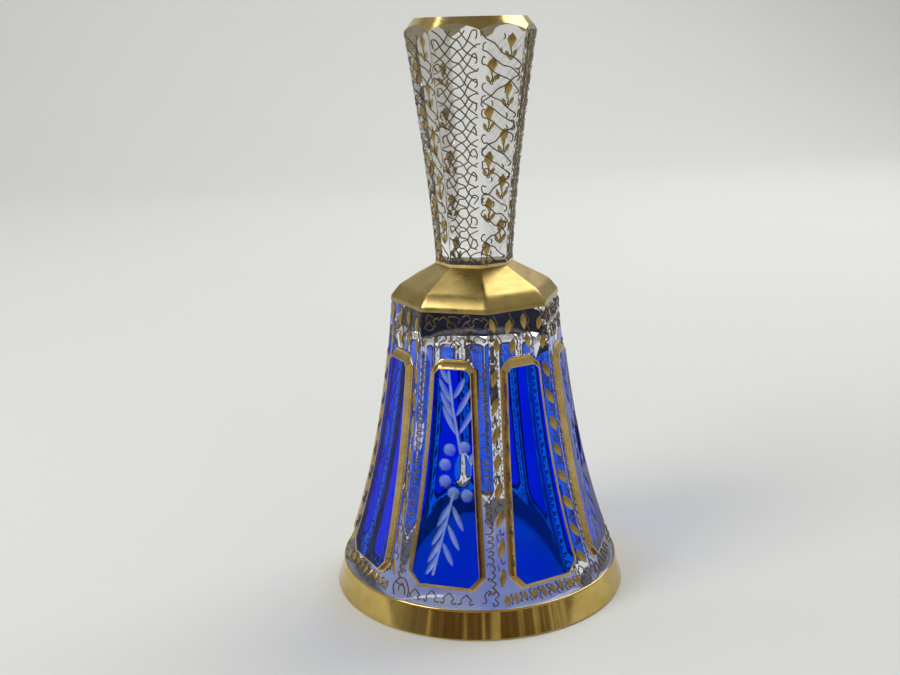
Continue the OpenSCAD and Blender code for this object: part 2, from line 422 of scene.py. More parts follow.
def in_panel(z, column):
    """Whether a face of a side lies under a panel's outline, with its corners cut off."""
    across = facet_r(z) * math.tan(local_angles[column])
    if not PANEL_LOW + UNDER_PANEL < z < PANEL_HIGH - UNDER_PANEL:
        return False
    room = float(border_half(z)) - UNDER_PANEL - abs(across)
    low_room = z - PANEL_LOW - LOW_CORNER + room
    high_room = PANEL_HIGH - HIGH_CORNER - z + room
    return room > 0 and low_room > -UNDER_PANEL and high_room > -UNDER_PANEL


def body_face(row, column):
    """FREE or JOINED for a face of the body."""
    first, last = len(crown), len(crown) + len(sides) - 1
    if row < first:
        return JOINED
    if row < last:
        z = (facet_levels[row - first] + facet_levels[row - first + 1]) / 2
        return JOINED if in_panel(z, column) and (column + 1) % COLUMNS else FREE
    return JOINED if row < last + BAND_ROWS else FREE


def build_body():
    points, faces, owners = stacked(body_rings)
    kinds = [body_face(row, column) for row, column in owners]
    return finish_mesh("bell_body", points, faces, [BODY_GLASS, FUSED], kinds)


bell_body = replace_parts(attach(build_body(), "bell"), "bell_glass")
print("body faces:", len(bell_body.data.polygons))

# %% [markdown]
# ## The handle
# The handle is solid glass with eight hollow-ground sides. Its top edge is ground to a cone, and where
# the cone meets the flats it leaves a scalloped line. A Boolean modifier with a cone would find that line
# but leave a ragged mesh along it. Here the rings are bent to end exactly on the line, so the faces stay
# even and the gold can be cut along the same line later.

# %% Shape of the handle
FILM = 0.12
NECK_CURVE = 1.35
CAP_OUT, CAP_UP = 0.75, 0.6
cone_lean = (TOP_R - TOP_FLAT_R) / BEVEL_H


def handle_arris(z):
    """Distance from the axis to an edge between two sides of the handle."""
    t = np.clip((np.asarray(z, float) - NECK_Z) / (BELL_H - BEVEL_H - NECK_Z), 0, 1)
    return NECK_R + (TOP_R - NECK_R) * t ** NECK_CURVE


def handle_half(z):
    """Half the width of a side of the handle."""
    return handle_arris(z) * math.sin(HALF)


flat_reach = TOP_R * IN_K / np.cos(local_angles)
scallop_z = BELL_H - (flat_reach - TOP_FLAT_R) / cone_lean


def handle_ring(t):
    """A ring from level at the neck (t = 0) to the scalloped line (t = 1)."""
    z = NECK_Z + (scallop_z - NECK_Z) * t
    return place(ring_angles, handle_arris(z) * IN_K / np.cos(local_angles), z)


def cone_ring(t, lift):
    """A ring on the cone, from the scalloped line (t = 0) to the flat top (t = 1)."""
    radius = flat_reach + (TOP_FLAT_R - flat_reach) * t + lift * CAP_OUT
    z = scallop_z + (BELL_H - scallop_z) * t + lift * CAP_UP
    return place(ring_angles, radius, z)


print("scalloped line between", round(float(scallop_z.min()), 2), "and", round(float(scallop_z.max()), 2))

# %% The handle's glass
HANDLE_ROWS = 60


def build_handle():
    rings = [handle_ring(t) for t in np.linspace(0, 1, HANDLE_ROWS)]
    rings += [cone_ring(t, -FILM) for t in (0.02, 0.5, 0.98)]
    rings.append(round_ring(TOP_FLAT_R - 0.2, BELL_H - FILM))
    rings.append(round_ring(TOP_FLAT_R * 0.5, BELL_H - FILM))
    points, faces, owners = stacked(rings)
    kinds = [FREE if 0 <= row < HANDLE_ROWS - 1 else JOINED for row, column in owners]
    return finish_mesh("bell_handle", points, faces, [HANDLE_GLASS, FUSED], kinds)


bell_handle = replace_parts(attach(build_handle(), "bell"), "handle_glass")
print("handle faces:", len(bell_handle.data.polygons))

# %% [markdown]
# ## Gold
# Fired gold is a film that copies the glass under it. The foot is burnished and mirrors the table, the
# shoulder and borders are satin with fine scuffs, and the thin painted lines are brown where they hold
# little gold, with their base colour darkened further as painted shade for lines that mirror the dim room
# in front. One image texture could carry the scuffs, but it would need unwrapping. Noise at the scale of a
# polishing cloth's marks gives base colour, roughness and bump together, and only the numbers differ
# from one gold to the next.

# %% Gold materials


def gold(name, deep, light, rough_low, rough_high, mark, strength, metallic=1.0):
    """mark stretches the scuffs along the axes, strength is their depth."""
    material, tree = new_material(name)
    cloud = noise(tree, 180, 5)
    tint = ramp(tree, cloud, [(0.3, deep), (0.7, light)])
    scuff = noise(tree, 900, 4, mark, 0.7)
    rough = node(tree, "ShaderNodeMapRange", Value=scuff, From_Min=0.3, From_Max=0.75,
                 To_Min=rough_low, To_Max=rough_high).outputs[0]
    metal = node(tree, "ShaderNodeBsdfPrincipled", Base_Color=tint, Roughness=rough, Metallic=metallic)
    tree.links.new(bump(tree, scuff, strength, 0.0001), metal.inputs["Normal"])
    output(tree, metal.outputs[0])
    return material


FOOT_GOLD = gold("burnished_gold", (0.54, 0.37, 0.1), (0.68, 0.5, 0.16), 0.03, 0.08, (1, 1, 3), 0.03)
SHOULDER_GOLD = gold("satin_gold", (0.38, 0.27, 0.085), (0.52, 0.39, 0.14), 0.24, 0.42, (0.2, 0.2, 1), 0.3)
BORDER_GOLD = gold("border_gold", (0.56, 0.38, 0.12), (0.76, 0.57, 0.23), 0.1, 0.22, (1, 1, 1), 0.2)
# painted shade: the line gold's base colour is kept far darker than gold, for lines that mirror the dim room
# in front
SHADED_LINE_GOLD = gold("line_gold_painted_shade", (0.1, 0.07, 0.035), (0.22, 0.15, 0.065), 0.3, 0.45, (1, 1, 1), 0.3)
GOLD_BACK = gold("gold_seen_through_glass", (0.5, 0.42, 0.24), (0.66, 0.58, 0.36), 0.5, 0.7, (1, 1, 1), 0.2,
                 metallic=0.4)
LEAF_GOLD = gold("leaf_gold", (0.34, 0.22, 0.06), (0.54, 0.38, 0.13), 0.25, 0.4, (1, 1, 1), 0.3)
print("golds:", [m.name for m in (FOOT_GOLD, SHOULDER_GOLD, BORDER_GOLD, SHADED_LINE_GOLD, GOLD_BACK, LEAF_GOLD)])

# %% [markdown]
# ## The blue layer on the shoulder
# The cutter leaves the blue skin on the sloped shoulder, and the gilder covers it with gold, so it is
# only seen from inside, as a dark blue disc. It could be left out under the gold, but then the collar
# would show bare gold from below. It is a closed ring of eight-sided rings, deep blue on its underside.

# %% Blue shoulder layer
HAIR = 0.02
PIN_HOLE = 0.1
UNDERSIDE_ROW = 6


def build_shoulder_layer():
    neck = NECK_R * IN_K
    rings = [
        octagon_ring(facet_r(EDGE_LOW) - HAIR, EDGE_LOW + HAIR),
        octagon_ring(facet_r(SHOULDER_Z) - FILM_V, SHOULDER_Z - FILM_V),
        octagon_ring(EDGE_R * IN_K - FILM_V, EDGE_Z - FILM_V),
        octagon_ring(SLOPE_R * IN_K - FILM_V, SLOPE_Z - FILM_V),
        octagon_ring(neck, NECK_Z - HAIR),
        octagon_ring(neck * PIN_HOLE, NECK_Z - HAIR),
        octagon_ring(neck * PIN_HOLE, GLASS_TOP + HAIR),
        octagon_ring(neck, GLASS_TOP + HAIR),
        octagon_ring(SLOPE_R * IN_K - FILM_V - OVERLAY, SLOPE_Z - OVERLAY - FILM_V + HAIR),
        octagon_ring(EDGE_R * IN_K - FILM_V - OVERLAY, EDGE_Z - OVERLAY - FILM_V + HAIR),
    ]
    points, faces, owners = stacked(rings, closed_stack=True)
    kinds = [1 if row >= UNDERSIDE_ROW else 0 for row, column in owners]
    return finish_mesh("blue_shoulder_layer", points, faces, [FUSED, FUSED_NAVY], kinds)


films = [(build_shoulder_layer(), "shoulder_overlay", "blue_glass")]

# %% [markdown]
# ## Gilded shoulder, neck line, handle cap and foot band
# A gilder brushes liquid gold on the shoulder, round the handle's foot and over its top, and burnishes
# the foot band after firing. Gold could be just a material on the glass faces, but a printed or exported
# part needs it as a body of its own, and its edge should catch the light. Each film is a thin closed
# shell: rings along the outside, then back along the underside, which shows paler through the glass.

# %% Shoulder film


def closed_film(name, outside, thick_rings, material):
    """A thin closed shell: rings along its outside, then back along its underside."""
    points, faces, owners = stacked(outside + thick_rings[::-1], closed_stack=True)
    hidden = [1 if i >= len(outside) else 0 for i, j in owners]
    return finish_mesh(name, points, faces, [material, GOLD_BACK], hidden)


def build_shoulder_gilding():
    lift = FILM_V - 0.03
    outside = [
        octagon_ring(facet_r(EDGE_LOW) + 0.12, EDGE_LOW),
        octagon_ring(facet_r(SHOULDER_Z - 0.35) + 0.14, SHOULDER_Z - 0.35),
        octagon_ring(facet_r(SHOULDER_Z) + 0.05, SHOULDER_Z),
        octagon_ring((EDGE_R + 0.05) * IN_K, EDGE_Z - 0.1),
        octagon_ring((EDGE_R - 0.4) * IN_K, EDGE_Z + 0.4),
        octagon_ring(SLOPE_R * IN_K, SLOPE_Z),
        octagon_ring(NECK_R * IN_K + 0.02, NECK_Z + 0.14),
    ]
    under = [
        octagon_ring(facet_r(EDGE_LOW) + 0.01, EDGE_LOW + 0.01),
        octagon_ring(facet_r(SHOULDER_Z) - lift, SHOULDER_Z - lift),
        octagon_ring(EDGE_R * IN_K - lift, EDGE_Z - lift),
        octagon_ring(SLOPE_R * IN_K - lift, SLOPE_Z - lift),
        octagon_ring(NECK_R * IN_K + 0.02, NECK_Z + 0.01),
    ]
    return closed_film("shoulder_gold", outside, under, SHOULDER_GOLD)


films.append((build_shoulder_gilding(), "shoulder_gilding", "worn_gilding"))

# %% Neck line and handle cap


def build_neck_line():
    low, high = NECK_Z + 0.16, NECK_Z + 0.85
    outside = [octagon_ring(handle_arris(z) * IN_K + 0.14, z) for z in (low, high)]
    under = [octagon_ring(handle_arris(z) * IN_K + 0.01, z) for z in (low, high)]
    return closed_film("neck_gold_line", outside, under, BORDER_GOLD)


def build_cap():
    steps = np.linspace(0, 0.985, 8)
    outside = [cone_ring(t, 0.0) for t in steps]
    outside += [round_ring(TOP_FLAT_R - 0.12, BELL_H), round_ring(TOP_FLAT_R * 0.5, BELL_H),
                round_ring(0.02, BELL_H)]
    under = [cone_ring(t, -FILM * 0.8) for t in steps]
    under += [round_ring(TOP_FLAT_R - 0.2, BELL_H - FILM * 0.8), round_ring(TOP_FLAT_R * 0.5, BELL_H - 0.1),
              round_ring(0.02, BELL_H - 0.1)]
    return closed_film("handle_cap_gold", outside, under, BORDER_GOLD)


films.append((build_neck_line(), "neck_gilding", "worn_gilding"))
films.append((build_cap(), "handle_cap_gilding", "worn_gilding"))

# %% Foot band


def build_foot_gilding():
    lip_r = FOOT_TOP_R - 0.4
    lip = [(lip_r + 0.17 + 0.2 * math.cos(a), FOOT_H - 0.12 + 0.25 * math.sin(a))
           for a in np.linspace(3.0, 0.1, 9)]
    side = [(BAND_TOP_R + (FOOT_R - BAND_TOP_R) * t, FOOT_H - 0.45 - (FOOT_H - 0.85) * t)
            for t in np.linspace(0.0, 1, 14)]
    outside = [round_ring(r, z) for r, z in lip + side + [(FOOT_R - 0.04, 0.2), (FOOT_R - 0.2, 0.03)]]
    back = [(lip_r + 0.03, FOOT_H - 0.25), (BAND_TOP_R - 0.17, FOOT_H - 0.52), (FOOT_R - 0.17, 0.5),
            (FOOT_R - 0.36, 0.03)]
    under = [round_ring(r, z) for r, z in back]
    return closed_film("foot_gold_band", outside, under, FOOT_GOLD)


films.append((build_foot_gilding(), "foot_gilding", "polished_gilding"))
for piece, cad_node, slot_name in films:
    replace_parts(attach(piece, "bell"), cad_node)
print("films:", [piece.name for piece, cad_node, slot_name in films])

# %% [markdown]
# ## Raised panels
# Each panel is what is left of the blue layer after the wheel has cut the ribs free. Its sides lean in,
# and its corners are cut off. A Bevel modifier on a slab couldn't follow the flare with one even lean, so
# an outline at any inset is worked out as points in the side's own plane (across, up), and the walls join
# two outlines. The face is a fine grid, so the engraved panels can have real grooves.

# %% Panel outlines
SIDE_STEPS = 64
LOW_CUT, HIGH_CUT = 2.6, 1.5
FACE_LOW_CUT, FACE_HIGH_CUT = 2.3, 0.9
FACE_TOP_INSET = BORDER + 1.2


def outline(inset, top_inset, low_cut, high_cut):
    """Closed outline of a panel, counterclockwise from the lower right corner: (across, up)."""
    low, high = PANEL_LOW + inset, PANEL_HIGH - top_inset
    z_low, z_high = low + low_cut, high - high_cut
    zs = np.linspace(z_low, z_high, SIDE_STEPS)
    half = border_half(zs) - inset
    right = np.stack([half, zs], 1)
    left = np.stack([-half[::-1], zs[::-1]], 1)
    low_half = float(border_half(low)) - inset - low_cut
    high_half = float(border_half(high)) - inset - high_cut
    across = np.linspace(0, 1, 9)[:, None]
    top = np.array([[high_half, high]]) * (1 - across) + np.array([[-high_half, high]]) * across
    low_edge = np.array([[-low_half, low]]) * (1 - across) + np.array([[low_half, low]]) * across
    return np.concatenate([right, top, left, low_edge])


def on_facet(k, across, up, lift):
    """From a side's plane to space. k counts the sides from the one right of the front edge."""
    azimuth = HALF + k * 2 * HALF
    out = facet_r(up) + lift
    return np.stack([out * math.sin(azimuth) + across * math.cos(azimuth),
                     -out * math.cos(azimuth) + across * math.sin(azimuth), np.asarray(up, float)], -1)


print("panel face:", np.round(outline(BORDER + LEAN_RUN, FACE_TOP_INSET, FACE_LOW_CUT, FACE_HIGH_CUT)[0], 2))

# %% Grid for a panel's face


def half_width(z, inset, low, high, low_cut, high_cut):
    """Half the width of a panel at each height, less where the corners are cut off."""
    half = border_half(z) - inset
    half = np.minimum(half, float(border_half(low)) - inset - low_cut + (z - low))
    return np.minimum(half, float(border_half(high)) - inset - high_cut + (high - z))


def face_grid(inset, top_inset, low_cut, high_cut, rows, cols):
    """Rows and columns of points (across, up) that fill an outline."""
    low, high = PANEL_LOW + inset, PANEL_HIGH - top_inset
    z = np.linspace(low, high, rows)
    half = half_width(z, inset, low, high, low_cut, high_cut)
    u = np.linspace(-1, 1, cols)
    return half[:, None] * u[None, :], np.repeat(z[:, None], cols, 1)


def rim_of_grid(rows, cols):
    """Indices of a grid's outer points, in order round it."""
    low = list(range(cols))
    right = [i * cols + cols - 1 for i in range(1, rows)]
    high = [(rows - 1) * cols + j for j in range(cols - 2, -1, -1)]
    left = [i * cols for i in range(rows - 2, 0, -1)]
    return low + right + high + left


print("plain panel rim:", len(rim_of_grid(60, 14)), "points")

# %% [markdown]
# ## The engraved flower
# A copper wheel cuts every leaf in one stroke, so each is a lens-shaped groove, deepest in its middle.
# The flower is a clear lens cut through the blue, with round matte berries round it, one stem of leaves
# above and one below. It could be painted as a bump texture, but real grooves catch the light from every
# side and reach the exported mesh. A list of strokes gives each groove's middle, length, width and
# direction, and a formula turns them into depth and frost.

# %% Places of lens, berries and stems
LENS = (2.6, 34.6, 4.3, 7.8)
BERRY_R = 1.45
BERRIES = [(-0.3, 39.2), (3.0, 39.9), (-1.2, 35.9), (-1.1, 32.4), (0.9, 29.9), (3.9, 29.7), (5.5, 37.6)]
UPPER_STEM = [(2.2, 38.6), (1.2, 43.5), (0.2, 48.5), (-0.8, 56.0)]
LOWER_STEM = [(0.9, 30.0), (-0.4, 24.0), (-1.7, 18.0), (-2.8, 12.6)]


def lens_at(u, z):
    """1 in the middle of the lens, 0 on its edge, less outside."""
    middle, height, width, length = LENS
    return 1 - ((u - middle) / (width / 2)) ** 2 - ((z - height) / (length / 2)) ** 2


def stem_point(stem, t):
    """A point on a stem, from its foot (t = 0) to its tip (t = 1)."""
    knots = np.array(stem)
    where = t * (len(knots) - 1)
    i = min(int(where), len(knots) - 2)
    return knots[i] + (knots[i + 1] - knots[i]) * (where - i)


# Each leaf of a stem: its side, its place along the stem and its length.
UPPER_LEAVES = [(-1, 0.22, 7.4), (1, 0.24, 8.6), (-1, 0.45, 7.0), (1, 0.50, 7.6), (-1, 0.68, 6.2),
                (1, 0.72, 5.6), (-1, 0.86, 4.6)]
LOWER_LEAVES = [(-1, 0.10, 6.0), (1, 0.12, 6.2), (-1, 0.30, 6.6), (1, 0.34, 6.4), (-1, 0.52, 6.2),
                (1, 0.56, 5.6), (-1, 0.72, 5.0)]
print("leaves:", len(UPPER_LEAVES + LOWER_LEAVES), "berries:", len(BERRIES))

# %% Depth and frost of each kind of stroke, the frost with painted light
LEAF_LEAN = math.radians(28)
GROOVE, STEM_GROOVE, LENS_GROOVE = 0.3, 0.12, 0.7
print("groove depths in mm:", GROOVE, STEM_GROOVE, LENS_GROOVE)


def leaf_cut(u, z, foot, side, length, width, way):
    """One leaf groove. Way is 1 for a leaf that points up and -1 for one that points down."""
    lean = LEAF_LEAN * side
    dx, dy = math.sin(lean), math.cos(lean) * way
    mx, my = foot[0] + dx * (length / 2 + 0.5), foot[1] + dy * (length / 2 + 0.5)
    along = ((u - mx) * dx + (z - my) * dy) / (length / 2)
    over = ((u - mx) * dy - (z - my) * dx) / (width / 2)
    shape = 1 - along ** 2 - np.abs(over) ** 1.5
    # painted light: one side of each leaf's frost is paler, as if lit from that side
    painted_light = 0.56 + 0.44 * np.clip(over * side, -1, 1)
    return np.clip(shape, 0, 1) ** 0.8 * GROOVE, np.clip(shape * 3.5, 0, 1) * painted_light


def stem_cut(u, z, stem, half=0.32):
    near = np.full_like(u, 99.0)
    for (x0, y0), (x1, y1) in zip(stem, stem[1:]):
        run = np.hypot(x1 - x0, y1 - y0)
        t = np.clip(((u - x0) * (x1 - x0) + (z - y0) * (y1 - y0)) / run ** 2, 0, 1)
        near = np.minimum(near, np.hypot(u - x0 - t * (x1 - x0), z - y0 - t * (y1 - y0)))
    shape = np.clip(1 - (near / half) ** 2, 0, 1)
    return shape * STEM_GROOVE, np.clip(shape * 2, 0, 0.7)


def berry_cut(u, z, x, y):
    shape = np.clip(1 - ((u - x) ** 2 + (z - y) ** 2) / BERRY_R ** 2, 0, 1)
    # painted light: each berry's frost is paler towards its upper left, as if lit from there
    painted_light = np.clip(0.5 + 0.28 * ((x - u) + (z - y)) / BERRY_R, 0.15, 0.85)
    return np.sqrt(shape) * GROOVE, np.clip(shape * 2.2, 0, 1) * painted_light


def engraving(u, z):
    """Depth, and frost with painted light on one side of each cut, at every point of a panel's face."""
    cuts = [leaf_cut(u, z, stem_point(stem, t), side, length, width, way)
            for stem, leaves, width, way in ((UPPER_STEM, UPPER_LEAVES, 1.35, 1),
                                             (LOWER_STEM, LOWER_LEAVES, 1.3, -1))
            for side, t, length in leaves]
    cuts += [stem_cut(u, z, stem) for stem in (UPPER_STEM, LOWER_STEM)]
    cuts += [berry_cut(u, z, x, y) for x, y in BERRIES]
    depth = np.max([deep for deep, frost in cuts], 0)
    frost_and_painted_light = np.max([frost for deep, frost in cuts], 0)
    lens = np.clip(lens_at(u, z), 0, 1)
    inside = lens > 0
    depth[inside] = np.sqrt(lens[inside]) * LENS_GROOVE
    frost_and_painted_light[inside] = 0
    return depth, frost_and_painted_light


# %% [markdown]
# ## Frosted cuts
# The wheel leaves its grooves matte, while the lens is polished clear again. A roughness map on the glass
# would do, but frosted glass over deep blue needs many samples to come out clean. So the face mixes
# smooth glass with a pale dull surface, by a point attribute that holds how matte each point is. That
# attribute also holds painted light: each leaf's frost is paler on one side, each berry's towards its upper
# left.

# %% Engraved glass material


def engraved_glass():
    material, tree = new_material("engraved_glass")
    tint = ramp(tree, noise(tree, 60), [(0.35, (0.9, 0.92, 0.99)), (0.65, (0.94, 0.95, 1.0))])
    glass = node(tree, "ShaderNodeBsdfPrincipled", Base_Color=tint, Roughness=0.0, IOR=PANEL_IOR,
                 Specular_Tint=COBALT_GLINT)
    glass.inputs["Transmission Weight"].default_value = 1.0
    frost_tint = ramp(tree, noise(tree, 500, 4), [(0.3, (0.2, 0.3, 0.72)), (0.7, (0.34, 0.46, 0.84))])
    frost = node(tree, "ShaderNodeBsdfDiffuse", Color=frost_tint)
    tree.links.new(bump(tree, noise(tree, 4000, 3), 0.4, 0.0001), frost.inputs["Normal"])
    # the mix share is the frost with its painted light, read from the panel's point attribute
    share = tree.nodes.new("ShaderNodeAttribute")
    share.attribute_name = "frost_and_painted_light"
    surface = mix_shaders(tree, share.outputs["Fac"], glass.outputs[0], frost.outputs[0])
    open_way = node(tree, "ShaderNodeBsdfTransparent", Color=SHORTCUT_TINT)
    output(tree, mix_shaders(tree, lamp_rays(tree), surface, open_way.outputs[0]))
    return material


ENGRAVED_GLASS = engraved_glass()
print("material:", ENGRAVED_GLASS.name)

# %% Panel glass
FRONT, ON_BLUE, ON_CLEAR = 0, 1, 2
ENGRAVED_GRID, PLAIN_GRID = (330, 110), (60, 14)
LENS_EDGE = 0.12


def panel_faces(rows, cols, through):
    """Faces of front, back and walls. through says which back faces the lens cut has laid bare."""
    total = rows * cols
    faces, kinds = [], []
    for i in range(rows - 1):
        for j in range(cols - 1):
            a = i * cols + j
            faces.append((a, a + 1, a + cols + 1, a + cols))
            faces.append((total + a, total + a + cols, total + a + cols + 1, total + a + 1))
            kinds += [FRONT, ON_CLEAR if through[i, j] else ON_BLUE]
    rim = rim_of_grid(rows, cols)
    faces += [(a, total + a, total + b, b) for a, b in zip(rim, rim[1:] + rim[:1])]
    return faces, kinds + [ON_CLEAR] * len(rim)


def build_panel(k):
    engraved = k % 2 == 1
    rows, cols = ENGRAVED_GRID if engraved else PLAIN_GRID
    face_u, face_z = face_grid(BORDER + LEAN_RUN, FACE_TOP_INSET, FACE_LOW_CUT, FACE_HIGH_CUT, rows, cols)
    back_u, back_z = face_grid(BORDER, BORDER, LOW_CUT, HIGH_CUT, rows, cols)
    depth, frost_and_painted_light = engraving(face_u, face_z) if engraved else (np.zeros((rows, cols)),) * 2
    front = on_facet(k, face_u.ravel(), face_z.ravel(), RAISE - depth.ravel())
    back = on_facet(k, back_u.ravel(), back_z.ravel(), HAIR)
    faces, kinds = panel_faces(rows, cols, (lens_at(back_u, back_z) > LENS_EDGE) & engraved)
    look, glass = ("engraved", ENGRAVED_GLASS) if engraved else ("plain", PANEL_GLASS)
    piece = finish_mesh(f"blue_{look}_{k // 2 + 1}", np.concatenate([front, back]), faces,
                        [glass, FUSED_BLUE, FUSED], kinds)
    if engraved:
        # the point attribute holds the frost together with its painted light
        layer = piece.data.attributes.new("frost_and_painted_light", "FLOAT", "POINT")
        frost = np.concatenate([frost_and_painted_light.ravel(), np.zeros(rows * cols)])
        layer.data.foreach_set("value", frost.astype(np.float32))
    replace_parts(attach(piece, "bell"), f"{look}_panel_{k // 2 + 1}")
    return piece


panels = [build_panel(k) for k in range(8)]
print("panels:", [p.name for p in panels])

# %% [markdown]
# ## Gilded borders
# A border is a flat gold line on the clear glass that turns up the panel's lean wall and ends in a small
# bead on its edge. A curve with a bevel profile would pinch at the cut corners. Instead, one outline is
# repeated at growing insets and heights, and the closed stack of outlines is the border's skin.

# %% Border profile: inset, inset at the top, corner cuts, height over the side
LEAN_END = BORDER + LEAN_RUN
BORDER_PROFILE = [
    (0.28, 0.28, 3.05, 2.3, 0.005), (0.31, 0.31, 3.03, 2.28, 0.08), (0.38, 0.38, 3.0, 2.2, 0.14),
    (0.48, 0.48, 2.95, 2.1, 0.18), (0.6, 0.6, 2.85, 1.95, 0.2), (0.72, 0.72, 2.75, 1.75, 0.18),
    (0.82, 0.82, 2.7, 1.62, 0.14), (BORDER + 0.02, BORDER + 0.02, LOW_CUT, HIGH_CUT, 0.16),
    (LEAN_END - 0.05, BORDER + 1.12, FACE_LOW_CUT, 0.95, RAISE + 0.03),
    (LEAN_END + 0.05, BORDER + 1.22, FACE_LOW_CUT, 0.95, RAISE + 0.05),
    (LEAN_END + 0.16, BORDER + 1.34, FACE_LOW_CUT, 0.95, RAISE + 0.02),
    (LEAN_END + 0.12, BORDER + 1.3, FACE_LOW_CUT, 0.95, RAISE - 0.03),
    (BORDER + 0.04, BORDER + 0.06, LOW_CUT, HIGH_CUT, 0.05),
    (BORDER - 0.08, BORDER - 0.08, 2.65, 1.55, 0.003),
]


def build_border(k):
    rings = [on_facet(k, *outline(*cuts).T, lift) for *cuts, lift in BORDER_PROFILE]
    points, faces, owners = stacked(rings, closed_stack=True)
    piece = finish_mesh(f"gold_border_{k + 1}", points, faces, [BORDER_GOLD], sharp=30)
    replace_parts(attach(piece, "bell"), f"panel_gilding_{k + 1}")
    return piece


borders = [build_border(k) for k in range(8)]
print("borders:", len(borders), "with", len(borders[0].data.polygons), "faces each")

# %% [markdown]
# ## Painted gold
# The painter covers every other side with a net of thin lines and the sides between with leaves on
# vines. A fine brush loaded with liquid gold leaves a round-backed line, thicker where it starts, stops
# or crosses wet gold. The lines could be an image on the glass, but seen close up, and from behind
# through the glass, they need a body. Each line is drawn flat, as points (across, up), and then laid on
# its side of the bell. Geometry Nodes give every stroke its body and put a leaf on every marked point,
# so one number sets the brush's width everywhere.

# %% Start and end of a node tree


def group_with(name, sockets):
    tree = bpy.data.node_groups.new(name, "GeometryNodeTree")
    tree.interface.new_socket("Geometry", in_out="INPUT", socket_type="NodeSocketGeometry")
    for label, kind in sockets:
        tree.interface.new_socket(label, in_out="INPUT", socket_type=kind)
    tree.interface.new_socket("Geometry", in_out="OUTPUT", socket_type="NodeSocketGeometry")
    return tree, tree.nodes.new("NodeGroupInput"), tree.nodes.new("NodeGroupOutput")


def finish_group(tree, geometry, given, out):
    """Realize the instances and set the material, which the export needs."""
    realize = tree.nodes.new("GeometryNodeRealizeInstances")
    paint = tree.nodes.new("GeometryNodeSetMaterial")
    tree.links.new(geometry, realize.inputs[0])
    tree.links.new(realize.outputs[0], paint.inputs["Geometry"])
    tree.links.new(given.outputs["Material"], paint.inputs["Material"])
    tree.links.new(paint.outputs[0], out.inputs[0])


# %% The brush as a node tree
BRUSH_SIDES = 6


def brush_tree():
    tree, given, out = group_with("brush_strokes", [
        ("Brush Radius", "NodeSocketFloat"), ("Step", "NodeSocketFloat"), ("Material", "NodeSocketMaterial")])
    resample = tree.nodes.new("GeometryNodeResampleCurve")
    resample.mode = "LENGTH"
    tree.links.new(given.outputs["Geometry"], resample.inputs["Curve"])
    tree.links.new(given.outputs["Step"], resample.inputs["Length"])
    tip = tree.nodes.new("GeometryNodeCurvePrimitiveCircle")
    tip.inputs["Resolution"].default_value = BRUSH_SIDES
    tree.links.new(given.outputs["Brush Radius"], tip.inputs["Radius"])
    body = tree.nodes.new("GeometryNodeCurveToMesh")
    body.inputs["Fill Caps"].default_value = True
    tree.links.new(resample.outputs[0], body.inputs["Curve"])
    tree.links.new(tip.outputs[0], body.inputs["Profile Curve"])
    finish_group(tree, body.outputs[0], given, out)
    return tree


BRUSH = brush_tree()
print("tree:", BRUSH.name, len(BRUSH.nodes), "nodes")

# %% The leaves as a node tree


def named_vector(tree, name):
    made = tree.nodes.new("GeometryNodeInputNamedAttribute")
    made.data_type = "FLOAT_VECTOR"
    made.inputs["Name"].default_value = name
    return made.outputs["Attribute"]


def leaf_tree():
    tree, given, out = group_with("painted_leaves", [
        ("Leaf", "NodeSocketObject"), ("Material", "NodeSocketMaterial")])
    shape = tree.nodes.new("GeometryNodeObjectInfo")
    tree.links.new(given.outputs["Leaf"], shape.inputs["Object"])
    spin = tree.nodes.new("FunctionNodeEulerToRotation")
    tree.links.new(named_vector(tree, "turn"), spin.inputs[0])
    spread = tree.nodes.new("GeometryNodeInstanceOnPoints")
    tree.links.new(given.outputs["Geometry"], spread.inputs["Points"])
    tree.links.new(shape.outputs["Geometry"], spread.inputs["Instance"])
    tree.links.new(spin.outputs[0], spread.inputs["Rotation"])
    tree.links.new(named_vector(tree, "size"), spread.inputs["Scale"])
    finish_group(tree, spread.outputs[0], given, out)
    return tree


LEAVES = leaf_tree()
print("tree:", LEAVES.name, len(LEAVES.nodes), "nodes")

# %% [markdown]
# ## Paint on the thick handle
# Paint on a solid handle can be seen twice: from outside, and from behind through the glass, where it
# hardly shows on the real one. Thinner lines on the far side would need a second drawing. This copy of
# the line gold is clear on faces that look towards the handle's axis, so only its outer side shows.

# %% Gold that shows on its outer side only


def outward_only(name, source):
    material = source.copy()
    material.name = name
    tree = material.node_tree
    out = next(n for n in tree.nodes if n.type == "OUTPUT_MATERIAL")
    paint = out.inputs["Surface"].links[0].from_socket
    coords = tree.nodes.new("ShaderNodeTexCoord")
    flat = node(tree, "ShaderNodeVectorMath", Vector=coords.outputs["Object"])
    flat.operation = "MULTIPLY"
    flat.inputs[1].default_value = (1, 1, 0)
    facing = tree.nodes.new("ShaderNodeVectorMath")
    facing.operation = "DOT_PRODUCT"
    tree.links.new(flat.outputs[0], facing.inputs[0])
    tree.links.new(coords.outputs["Normal"], facing.inputs[1])
    inward = tree.nodes.new("ShaderNodeMath")
    inward.operation = "LESS_THAN"
    inward.inputs[1].default_value = 0.0
    tree.links.new(facing.outputs["Value"], inward.inputs[0])
    clear = tree.nodes.new("ShaderNodeBsdfTransparent")
    mixed = mix_shaders(tree, inward.outputs[0], paint, clear.outputs[0])
    tree.links.new(mixed, out.inputs["Surface"])
    return material


# the handle's lines keep the line gold's painted shade
HANDLE_LINE = outward_only("line_gold_on_handle", SHADED_LINE_GOLD)
print("material:", HANDLE_LINE.name)

# %% Running a tree


